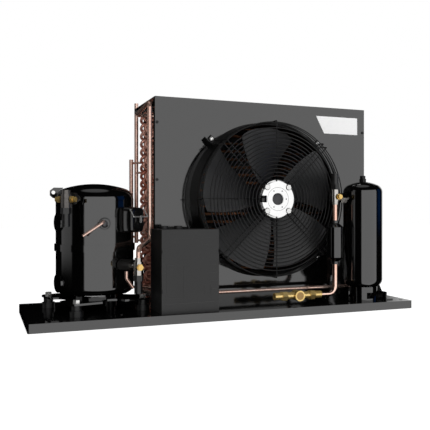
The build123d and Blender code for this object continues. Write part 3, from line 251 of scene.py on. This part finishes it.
# Black oxide on screws: dark, with a small soft highlight
black_oxide = finish("black_oxide_steel", "#141414", "#1C1C1C", 0.002, 0.5, 0.25, 0.4, 0.00003)
dress(black_oxide, "casing_screws")

# ---------------------------------------------------------------- coil
# Tubes run through two bright end sheets and a pack of thin aluminium fins. Copper return
# bends are brazed on the left end, next to two upright manifolds.
# Mill-rolled aluminium: bright, with long faint streaks along the rolling direction
rolled_sheet = finish("mill_rolled_aluminium", "#D8D2CE", "#EEE9E6", 0.003, 1.0, 0.12, 0.2,
                      0.00002, stretch=(1, 1, 0.1))
dress(rolled_sheet, "tube_sheets")
dress(drawn_copper, "coil_headers", "hot_gas_line", "liquid_line")
# Tubes inside the casing: a dull brown, darker than the copper outside it
dull_brown_coil_copper = finish("dull_brown_coil_copper", "#A8704F", "#C28C6B", 0.004, 0.5, 0.3, 0.45,
                          0.00003)
dress(dull_brown_coil_copper, "coil_tubes")
# Fin grey: a flat mid grey, darker than bare aluminium fins, which is painted shade for the inside
# of the casing; it darkens further between the fins
shaded_fin_grey = finish("fin_grey_painted_shade", "#7A7A7D", "#9A9A9C", 0.002, 0.3, 0.35, 0.5, 0.00002)

fin_pitch = 0.0021                  # 12 fins to the inch
fin_sheet = 0.0002
fin_low, fin_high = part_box("coil_fins")
tube_low, tube_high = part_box("coil_tubes")


def slabs(lows, highs):
    """Grids of boxes between two opposite corners: each is a square tube whose end rows are
    drawn in to a point."""
    lows, highs = np.asarray(lows, float), np.asarray(highs, float)
    corners = np.array([(0, 0), (1, 0), (1, 1), (0, 1)], float)
    grid = np.empty((len(lows), 4, 4, 3))
    grid[:, :2, :, 0] = lows[:, None, None, 0]
    grid[:, 2:, :, 0] = highs[:, None, None, 0]
    grid[:, :, :, 1:] = (lows[:, None, 1:] + corners * (highs - lows)[:, None, 1:])[:, None]
    grid[:, ::3, :, 1:] = ((lows + highs) / 2)[:, None, None, 1:]
    return grid


fin_x = np.arange(fin_low.x + fin_pitch, fin_high.x - fin_pitch, fin_pitch)
fin_start = (tube_low.y + tube_high.y) / 2
fin_lows = np.stack([fin_x, np.full_like(fin_x, fin_start), np.full_like(fin_x, fin_low.z)],
                    axis=1)
fin_highs = np.stack([fin_x + fin_sheet, np.full_like(fin_x, fin_high.y),
                      np.full_like(fin_x, fin_high.z)], axis=1)
fin_pack = mesh_piece("fin_pack", slabs(fin_lows, fin_highs), "unit", shaded_fin_grey, smooth=False)
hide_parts("coil_fins")


def flat_path(corners, bend, steps=8):
    """Path in a plane with each corner rounded: two straight lines joined by a parabola that
    starts and ends a bend's length from the corner."""
    corners = np.asarray(corners, float)
    path = [corners[:1]]
    t = np.linspace(0, 1, steps)[:, None]
    for before, corner, after in zip(corners[:-2], corners[1:-1], corners[2:]):
        start = corner + (before - corner) / np.linalg.norm(before - corner) * bend
        end = corner + (after - corner) / np.linalg.norm(after - corner) * bend
        path.append((1 - t) ** 2 * start + 2 * t * (1 - t) * corner + t ** 2 * end)
    path.append(corners[-1:])
    return np.concatenate(path)


def wire(path, origin, first, second, radius, sides=10, looped=False):
    """Tube round a flat path. Each point is the path's point plus the radius times the cosine
    of v along the path's normal and the sine of v along the plane's normal."""
    first, second = np.asarray(first, float), np.asarray(second, float)
    plane_normal = np.cross(first, second)
    if looped:
        ahead = np.roll(path, -1, axis=0) - np.roll(path, 1, axis=0)
    else:
        ahead = np.gradient(path, axis=0)
    ahead = ahead / np.linalg.norm(ahead, axis=1, keepdims=True)
    side = np.stack([-ahead[:, 1], ahead[:, 0]], axis=1)
    centre = np.asarray(origin, float) + path[:, :1] * first + path[:, 1:] * second
    outward = side[:, :1] * first + side[:, 1:] * second
    v = np.linspace(0, 2 * np.pi, sides, endpoint=False)[None, :, None]
    ring = np.cos(v) * outward[:, None] + np.sin(v) * plane_normal
    grid = centre[:, None] + radius * ring
    if looped:
        return grid
    tips = np.repeat(centre[[0, -1], None], sides, axis=1)
    return np.concatenate([tips[:1], grid, tips[1:]])


# Return bends: half circles of coil tube, upright on the first two rows and slanted across
# the last two. Places are counted in tube pitches up from the lowest tube.
tube_pitch = 0.0254
row_pitch = 0.022
bend_half = tube_pitch / 2
bend_tail = 0.004                   # length of each leg inside the end sheet
bend_stand = 0.0035                 # straight length before the half circle
tube_radius = (tube_high.y - tube_low.y) / 2
sheet_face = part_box("return_bends")[1].x
lowest = tube_low.z + tube_radius
half_turn = np.linspace(np.pi / 2, 3 * np.pi / 2, 15)
arc = bend_half * np.stack([np.cos(half_turn), np.sin(half_turn)], axis=1) - (bend_stand, 0)
u_path = np.concatenate([[(bend_tail, bend_half)], arc, [(bend_tail, -bend_half)]])
row_y = tube_low.y + tube_radius + row_pitch * np.arange(4)
upright, slanted = 90, 120
bends = [((row_y[2] + row_y[3]) / 2, count - 0.25, slanted) for count in range(22)]
bends += [(row_y[0], count + 0.5, upright) for count in range(1, 21, 2)]
bends += [(row_y[1], count + 1, upright) for count in range(0, 21, 2)]
bend_grids = np.stack([wire(u_path, (sheet_face, depth, lowest + tube_pitch * pitches), (1, 0, 0),
                            (0, math.cos(math.radians(lean)), math.sin(math.radians(lean))),
                            tube_radius) for depth, pitches, lean in bends])
# Bends are bright, with the deeper red that brazing heat leaves on copper
brazed_copper = finish("brazed_copper_bends", "#C4745C", "#F2C4B4", 0.006, 0.4, 0.08, 0.18,
                       0.00002)
bend_bank = mesh_piece("copper_bend_bank", bend_grids, "unit", brazed_copper)
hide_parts("return_bends")

# ---------------------------------------------------------------- fan
# Spun steel bell mouth, a five-blade pressed impeller on an outer-rotor motor, and a welded
# wire guard that carries the motor on its hub.
# Low-sheen black inside and out, so the collar stays dark beside the glossy front
collar_black = finish("matt_black_collar", "#060606", "#0A0A0A", 0.004, 0.0, 0.3, 0.45, 0.00003,
                      1.35)
dress(collar_black, "bell_mouth")
# Satin black paint on the blades and the rotor, which greys where the light skims it
blade_paint = finish("satin_black_blade_paint", "#1A1A1B", "#262628", 0.003, 0.0, 0.32, 0.45,
                     0.00006)
dress(blade_paint, "motor_rotor")
# Die-cast aluminium, skimmed bright on its face, so it is the palest metal in the fan
skimmed_casting = finish("skimmed_die_casting", "#DADADA", "#F2F2F0", 0.002, 1.0, 0.25, 0.4,
                         0.00004)
dress(skimmed_casting, "motor_stator")
dress(zinc_plate, "motor_bolts")

clamp_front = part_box("impeller")[0].y + 0.002
stator_low, stator_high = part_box("motor_stator")
fan_x = (stator_low.x + stator_high.x) / 2
fan_z = (stator_low.z + stator_high.z) / 2
blade_root, blade_tip = 0.0535, 0.2125
blade_sheet = 0.0012
blade_count = 5
first_blade = 171                   # degrees anticlockwise from the right
half_chord, swept_back = 28.0, 9    # degrees: half a blade's width, and its sweep at the tip
blade_middle = -0.0155              # depth of the blade's middle line
root_fall, added_fall = 0.017, 0.009    # half the blade's depth at its root, and more at its tip
blade_camber = 0.005
corner_cut = 0.045                  # share of the span that a tip corner loses


def pressed_blade(middle, rows=20, columns=26):
    """Closed sheet over radius and chord. Its angle is the swept middle plus half its width
    times u, its depth falls in line with u and bulges by one minus u squared, and its tip
    corners are rounded by a sixth power of u."""
    v = np.linspace(0, 1, rows)[:, None]
    u = np.linspace(-1, 1, columns)[None, :]
    radius = blade_root + (blade_tip - blade_root) * v * (1 - corner_cut * np.abs(u) ** 6)
    angle = np.radians(middle - swept_back * v ** 1.5 + half_chord * u)
    depth = blade_middle - (root_fall + added_fall * v) * u - blade_camber * (1 - u ** 2)
    front = np.stack([fan_x + radius * np.cos(angle), depth, fan_z + radius * np.sin(angle)],
                     axis=-1)
    back = front + np.array([0, blade_sheet, 0])
    return np.concatenate([front, back[:, ::-1]], axis=1)


def closed_sheets(name, grids, body, material):
    """Mesh of sheets whose columns run round the edge, with both end rows sewn from front to
    back. Seen from outside, rows run up while points run to the left."""
    index = np.arange(grids[..., 0].size).reshape(grids.shape[:3])
    ahead, beside = index[:, 1:], np.roll(index, -1, axis=2)[:, :-1]
    faces = [np.stack([index[:, :-1], ahead, np.roll(ahead, -1, axis=2), beside],
                      axis=-1).reshape(-1, 4)]
    half = grids.shape[2] // 2
    for row, order in ((0, 1), (-1, -1)):
        front, back = index[:, row, :half], index[:, row, half:][:, ::-1]
        quad = np.stack([front[:, :-1], front[:, 1:], back[:, 1:], back[:, :-1]], axis=-1)
        faces.append(quad.reshape(-1, 4)[:, ::order])
    return new_piece(name, grids, np.concatenate(faces), body, material, False)


blade_grids = np.stack([pressed_blade(first_blade + 360 / blade_count * count)
                        for count in range(blade_count)])
blades = closed_sheets("pressed_blades", blade_grids, "fan_rotor", blade_paint)

# Clamp ring that holds the blade roots on the rotor
clamp_back = 0.006
clamp_turn = np.linspace(0, 2 * np.pi, 72, endpoint=False)[:, None]
clamp_radii = np.array([0.0526, 0.0546, 0.0546, 0.0526])
clamp_depths = np.array([clamp_front, clamp_front, clamp_back, clamp_back])
clamp = np.stack([fan_x + clamp_radii * np.cos(clamp_turn), clamp_depths + 0 * clamp_turn,
                  fan_z + clamp_radii * np.sin(clamp_turn)], axis=-1)
clamp_ring = mesh_piece("blade_clamp_ring", clamp[None], "fan_rotor", blade_paint, looped=True,
                        smooth=False)
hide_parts("impeller")

# Wire guard: fifteen front rings and three round its side, all 3.2 mm wire
wire_radius = 0.0016
ring_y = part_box("fan_guard")[0].y + wire_radius
spoke_y = ring_y + 2 * wire_radius
side_radius = 0.225
front_rings, first_ring, ring_pitch = 15, 0.0568, 0.0107
ring_sizes = [(first_ring + ring_pitch * count, ring_y) for count in range(front_rings)]
side_depths = (-0.0646, -0.0528, -0.0398)
ring_sizes += [(side_radius, depth) for depth in side_depths]


def unit_circle(sides):
    """Points round a circle of radius one."""
    turn = np.linspace(0, 2 * np.pi, sides, endpoint=False)
    return np.stack([np.cos(turn), np.sin(turn)], axis=1)


ring_grids = np.stack([wire(unit_circle(120) * size, (fan_x, depth, fan_z), (1, 0, 0), (0, 0, 1),
                            wire_radius, looped=True) for size, depth in ring_sizes])
# Plastic-coated wire: black with a soft shine along each rod
coated_wire = finish("coated_guard_wire", "#050505", "#0A0A0A", 0.002, 0.0, 0.3, 0.42, 0.00002,
                     1.4)
guard_rings = mesh_piece("guard_rings", ring_grids, "unit", coated_wire, looped=True)
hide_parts("fan_guard")


def fan_ways(angle):
    """Directions out from the fan's axis and across that, at an angle in degrees."""
    turn = math.radians(angle)
    return (np.array([math.cos(turn), 0, math.sin(turn)]),
            np.array([-math.sin(turn), 0, math.cos(turn)]))


# Spokes: single ones up, down and to the left that bend back over the side rings, a short one
# to the right, and four doubled ones that end in an eye on the front panel
eye_angles = (45, 135, 225, 315)
eye_reach = 0.248
eye_half = 0.0074                   # half the distance between the two wires of a pair
hub_reach = 0.040
pair_start = 0.0474
wire_bend = 0.004
outer = side_radius + 0.0033
short_tip = 0.2106
turn_back = 0.038                   # how far a single spoke runs back over the side rings
lug_step = 0.007
lug_y = 0.0004
fan_front = np.array([fan_x, 0, fan_z])
straight = []
for angle in (90, 180, 270):
    path = flat_path([(hub_reach, spoke_y), (outer, spoke_y), (outer, spoke_y + turn_back)],
                     wire_bend)
    straight.append(wire(path, fan_front, fan_ways(angle)[0], (0, 1, 0), wire_radius))
short_path = np.linspace((hub_reach, spoke_y), (short_tip, spoke_y), 10)
short = [wire(short_path, fan_front, (1, 0, 0), (0, 1, 0), wire_radius)]
leg_path = flat_path([(pair_start, spoke_y), (outer, spoke_y), (outer + lug_step, lug_y),
                      (eye_reach, lug_y)], wire_bend)
eye_turn = np.linspace(np.pi / 2, 3 * np.pi / 2, 16)
eye_path = eye_half * np.stack([np.cos(eye_turn), np.sin(eye_turn)], axis=1)
legs = []
loops = []
for angle in eye_angles:
    out, across = fan_ways(angle)
    for hand in (-1, 1):
        legs.append(wire(leg_path, fan_front + hand * eye_half * across, out, (0, 1, 0),
                         wire_radius))
    loops.append(wire(eye_path, fan_front + (0, spoke_y, 0) + pair_start * out, out, across,
                      wire_radius))
    loops.append(wire(-eye_path, fan_front + (0, lug_y, 0) + eye_reach * out, out, across,
                      wire_radius))
for name, group in (("straight_spokes", straight), ("short_spoke", short),
                    ("double_spokes", legs), ("spoke_loops", loops)):
    spokes = mesh_piece(name, np.stack(group), "unit", coated_wire)


def turned_form(centre, radii, depths, sides):
    """Form turned about a line in depth: each profile point is a radius and a depth."""
    circle = unit_circle(sides)[::-1]
    radii, depths = np.asarray(radii)[:, None], np.asarray(depths)[:, None]
    return np.stack([centre[0] + radii * circle[:, 0], depths + 0 * circle[:, 0],
                     centre[2] + radii * circle[:, 1]], axis=-1)


# Domed screw heads at the four eyes of the guard
screw_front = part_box("casing_screws")[0].y
dome_radii = [0, 0.0034, 0.0058, 0.0068, 0.0068, 0]
dome_depths = screw_front + np.array([-0.0018, -0.0016, -0.0008, 0.0012, 0.004, 0.004])
heads = np.stack([turned_form(fan_front + eye_reach * fan_ways(angle)[0], dome_radii,
                              dome_depths, 20) for angle in eye_angles])
guard_screws = mesh_piece("guard_screw_heads", heads, "unit", zinc_plate)

# Face of the motor: a plug in its middle, a dark grey ring and five dark grey discs round it that
# are painted shade for its groove and pin holes, and the black cable entry in its notch
motor_face = stator_low.y
plug = turned_form(fan_front, [0, 0.0162, 0.0172, 0.0172],
                   motor_face + np.array([0.0008, 0.0008, 0.0016, 0.0028]), 40)
# Plug grey: a flat dark grey that drops the face's middle back from the bright casting; the same
# grey is painted shade in the groove and the pin holes
plug_grey_and_hole_shade = finish("motor_plug_grey_and_hole_shade", "#2C2C2E", "#3A3A3C", 0.001, 0.0, 0.4, 0.55, 0.00005)
motor_plug = mesh_piece("motor_plug", plug[None], "unit", plug_grey_and_hole_shade)
# Groove: a thin dark grey ring on the face, painted shade where the groove is
groove_size, groove_radius = 0.0335, 0.0004
groove = wire(unit_circle(64) * groove_size, (fan_x, motor_face, fan_z), (1, 0, 0), (0, 0, 1),
              groove_radius, 6, looped=True)
groove_shade_ring = mesh_piece("groove_shade_ring", groove[None], "unit", plug_grey_and_hole_shade, looped=True)
# Pin holes: dark grey discs standing just off the face, painted shade for the holes
pin_circle, pin_radius = 0.0265, 0.0019
pin_depths = motor_face + np.array([-0.0003, -0.0003, 0.001, 0.001])
pin_holes = np.stack([turned_form(fan_front + pin_circle * fan_ways(angle)[0],
                                  [0, pin_radius, pin_radius, 0], pin_depths, 10)
                      for angle in (0, 60, 120, 240, 300)])
pin_hole_shades = mesh_piece("pin_hole_shade_discs", pin_holes, "unit", plug_grey_and_hole_shade)
entry_x = fan_x - 0.0455
entry_half_width, entry_half_height = 0.009, 0.0095
entry = slabs([(entry_x - entry_half_width, motor_face - 0.001, fan_z - entry_half_height)],
              [(entry_x + entry_half_width, motor_face + 0.0045, fan_z + entry_half_height)])
cable_entry = mesh_piece("cable_entry", entry, "unit", moulded_black)

# ---------------------------------------------------------------- receiver and liquid line
# Welded steel receiver in black enamel, a black filter drier, copper tube and a brass sight
# glass.
dress(shell_enamel, "receiver_shell", "receiver_foot", "filter_drier")
dress(black_oxide, "relief_plug")
# Liquid tube: paler copper, polished bright
bright_copper = finish("polished_copper", "#D9A893", "#EDD3C7", 0.003, 1.0, 0.10, 0.2, 0.00003)
dress(bright_copper, "drier_inlet_tube", "drier_outlet_tube")
# Sight-glass lens: smooth and shining, taking its amber from the brass behind it
lens_glass = finish("amber_sight_lens", "#A07A36", "#B98F45", 0.002, 0.0, 0.03, 0.06, 0.00001)
dress(lens_glass, "sight_glass_lens")

# ---------------------------------------------------------------- electrical box
# Moulded ABS box with a lift-off cover, fine spark texture and moulded marks on its front.
# Spark texture: a dry dark grey that breaks up every highlight
spark_abs = finish("spark_textured_abs", "#181818", "#202020", 0.0012, 0.0, 0.45, 0.6, 0.0001)
dress(spark_abs, "ebox_base", "ebox_cover", "ebox_glands", "ebox_contactor")

# Moulded marks on the front: a step near the floor and one near the top, two rows of vents, short
# ribs at both edges and two framed panels, each standing 0.6 mm proud in a black darker than the
# box, which is painted shade along the steps, vents, ribs and frames. A mark is its left and right
# ends and its lower and upper edges.
ebox_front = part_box("ebox_base")[0].y
mark_proud, mark_sunk = 0.0006, 0.0004
bold, middling, fine, rib = 0.00216, 0.0018, 0.00144, 0.00252
upright_width = 0.0014
flat_marks = [(-0.2175, -0.0630, 0.0485, bold), (-0.2175, -0.0630, 0.2170, middling)]
flat_marks += [(-0.2020, -0.1650, 0.2072, bold), (-0.1240, -0.0730, 0.2072, bold),
               (-0.2020, -0.1750, 0.1990, fine), (-0.1130, -0.0730, 0.1990, fine)]
flat_marks += [(-0.0880, -0.0640, level, rib) for level in (0.166, 0.146, 0.124, 0.103, 0.083)]
flat_marks += [(-0.2170, -0.2060, level, bold) for level in (0.184, 0.151, 0.127, 0.104, 0.081)]
flat_marks += [(-0.2060, -0.1600, level, fine) for level in (0.148, 0.062)]
marks = [(left, right, low, low + height) for left, right, low, height in flat_marks]
marks += [(left, left + upright_width, low, high) for left, low, high in
          ((-0.2065, 0.062, 0.148), (-0.1600, 0.062, 0.148),
           (-0.1010, 0.070, 0.096), (-0.0850, 0.070, 0.096))]
mark_grids = slabs([(left, ebox_front - mark_proud, low) for left, right, low, high in marks],
                   [(right, ebox_front + mark_sunk, high) for left, right, low, high in marks])
# Marks in the cap black, darker than the box: painted shade along each step, vent, rib and frame
ebox_shade_lines = mesh_piece("ebox_mark_shade_lines", mark_grids, "unit", cap_plastic_and_mark_shade, smooth=False)

# ---------------------------------------------------------------- name plate
# Bare white plate in its place on the front sheet, slanted at its left end, held by glue.
plate_back, plate_thickness = 0.028, 0.0008
plate_left, plate_right, plate_slant = 0.3388, 0.491, 0.029
plate_top, plate_foot = 0.5904, 0.5363
plate = np.array([(plate_left, plate_top), (plate_left + plate_slant, plate_foot),
                  (plate_right, plate_foot), (plate_right, plate_top)])
plate_rings = np.zeros((4, 4, 3))
plate_rings[..., ::2] = plate
plate_rings[::3, :, ::2] = plate.mean(axis=0)
plate_rings[:2, :, 1] = plate_back
plate_rings[2:, :, 1] = plate_back - plate_thickness
# Printed plate white: a clean satin white, the brightest patch on the front
plate_white = finish("printed_white_plate", "#F6F6F6", "#FCFCFC", 0.01, 0.0, 0.25, 0.35, 0.00001)
name_plate = mesh_piece("bare_name_plate", plate_rings[None], "unit", plate_white, smooth=False)

# ---------------------------------------------------------------- studio
# Pale floor that glows to the camera and is open to reflections, a world that is white behind
# the object and holds light boxes in reflections, and three soft lamps.
floor_half = 9
floor_mesh = bpy.data.meshes.new("studio_floor")
floor_mesh.from_pydata([(-floor_half, -floor_half, 0), (floor_half, -floor_half, 0),
                        (floor_half, floor_half, 0), (-floor_half, floor_half, 0)],
                       [], [(0, 1, 2, 3)])
studio_floor = bpy.data.objects.new("studio_floor", floor_mesh)
bpy.context.scene.collection.objects.link(studio_floor)
# Pale floor paint: matt, with a glow that only the camera sees, so it meets the white world
floor_paint = bpy.data.materials.new("pale_floor")
floor_paint.use_nodes = True
floor_tree = floor_paint.node_tree
floor_tree.nodes.clear()
seen = add(floor_tree, "ShaderNodeLightPath", {}, {})
matt = add(floor_tree, "ShaderNodeBsdfDiffuse", {"Color": linear("#A0A0A0")}, {})
glow = add(floor_tree, "ShaderNodeEmission", {"Color": linear("#FFFFFF"), "Strength": 0.88}, {})
through = add(floor_tree, "ShaderNodeBsdfTransparent", {"Color": linear("#FFFFFF")}, {})
shown = add(floor_tree, "ShaderNodeAddShader", {}, {0: matt.outputs[0], 1: glow.outputs[0]})
for_camera = add(floor_tree, "ShaderNodeMixShader", {},
                 {0: seen.outputs["Is Camera Ray"], 1: matt.outputs[0], 2: shown.outputs[0]})
for_gloss = add(floor_tree, "ShaderNodeMixShader", {},
                {0: seen.outputs["Is Glossy Ray"], 1: for_camera.outputs[0],
                 2: through.outputs[0]})
add(floor_tree, "ShaderNodeOutputMaterial", {}, {"Surface": for_gloss.outputs[0]})
floor_mesh.materials.append(floor_paint)

world = bpy.data.worlds.new("studio")
bpy.context.scene.world = world
world.use_nodes = True
sky = world.node_tree
sky.nodes.clear()
view = add(sky, "ShaderNodeTexCoord", {}, {})
split = add(sky, "ShaderNodeSeparateXYZ", {}, {"Vector": view.outputs["Generated"]})
behind = add(sky, "ShaderNodeMath", {"operation": "MULTIPLY", 1: -1.0},
             {0: split.outputs["Y"]})
heading = add(sky, "ShaderNodeMath", {"operation": "ARCTAN2"},
              {0: split.outputs["X"], 1: behind.outputs[0]})
# Light boxes round the studio: left and right edges as headings from the front in degrees,
# lower and upper edges as the sine of elevation, and colour. The last is the whole ceiling.
light_boxes = [(-41, 52, -2.0, 0.42, (1.42, 1.42, 1.42)),
               (-123, -80, -0.08, 0.42, (0.5, 0.5, 0.5)),
               (62, 90, -0.02, 0.42, (0.0, 0.05, 0.2)),
               (112, 143, -2.0, 0.42, (0.9, 0.9, 0.9)),
               (-180, 180, 0.93, 2.0, (0.5, 0.5, 0.5))]
side_blur, height_blur = 1.5, 0.02
studio = None
for left, right, low, high, colour in light_boxes:
    edges = [(split.outputs["Z"], low - height_blur, low + height_blur),
             (split.outputs["Z"], high + height_blur, high - height_blur)]
    if right - left < 360:
        edges = [(heading.outputs[0], math.radians(left - side_blur),
                  math.radians(left + side_blur)),
                 (heading.outputs[0], math.radians(right + side_blur),
                  math.radians(right - side_blur))] + edges
    mask = None
    for value, dark_end, bright_end in edges:
        edge = add(sky, "ShaderNodeMapRange", {"From Min": dark_end, "From Max": bright_end},
                   {"Value": value})
        mask = edge if mask is None else add(sky, "ShaderNodeMath", {"operation": "MULTIPLY"},
                                             {0: mask.outputs[0], 1: edge.outputs[0]})
    light = add(sky, "ShaderNodeVectorMath", {"operation": "SCALE", 0: colour},
                {"Scale": mask.outputs[0]})
    studio = light if studio is None else add(sky, "ShaderNodeVectorMath", {"operation": "ADD"},
                                              {0: studio.outputs[0], 1: light.outputs[0]})
ray = add(sky, "ShaderNodeLightPath", {}, {})
studio_back = add(sky, "ShaderNodeBackground", {}, {"Color": studio.outputs[0]})
fill_back = add(sky, "ShaderNodeBackground", {"Color": linear("#FFFFFF"), "Strength": 0.45}, {})
white_back = add(sky, "ShaderNodeBackground", {"Color": linear("#FFFFFF"), "Strength": 1.0}, {})
gloss_mix = add(sky, "ShaderNodeMixShader", {},
                {0: ray.outputs["Is Glossy Ray"], 1: fill_back.outputs[0],
                 2: studio_back.outputs[0]})
camera_mix = add(sky, "ShaderNodeMixShader", {},
                 {0: ray.outputs["Is Camera Ray"], 1: gloss_mix.outputs[0],
                  2: white_back.outputs[0]})
add(sky, "ShaderNodeOutputWorld", {}, {"Surface": camera_mix.outputs[0]})

lamp_aim = np.array([0, 0, 0.3])
for name, place, size, power in (("key_softbox", (1.6, -2.6, 1.9), 1.8, 62),
                                 ("fill_softbox", (-2.6, -1.6, 1.4), 1.8, 12),
                                 ("back_softbox", (0.4, 2.8, 2.2), 2.0, 40)):
    lamp_data = bpy.data.lights.new(name, "AREA")
    lamp_data.size = size
    lamp_data.energy = power
    lamp = bpy.data.objects.new(name, lamp_data)
    bpy.context.scene.collection.objects.link(lamp)
    lamp.location = place
    lamp.visible_glossy = False
    toward = lamp_aim - np.array(place)
    lamp.rotation_euler = (math.atan2(np.hypot(toward[0], toward[1]), -toward[2]), 0,
                           math.atan2(-toward[0], toward[1]))

camera_data = bpy.data.cameras.new("camera")
camera_data.lens = 51.4
camera_data.sensor_width = 36
camera_data.shift_y = -0.00814
camera = bpy.data.objects.new("camera", camera_data)
bpy.context.scene.collection.objects.link(camera)
camera.location = (-0.6528, -1.6729, 0.288)
camera.rotation_euler = (math.pi / 2, 0, math.radians(-20.9))
bpy.context.scene.camera = camera
bpy.context.scene.view_settings.view_transform = "Standard"
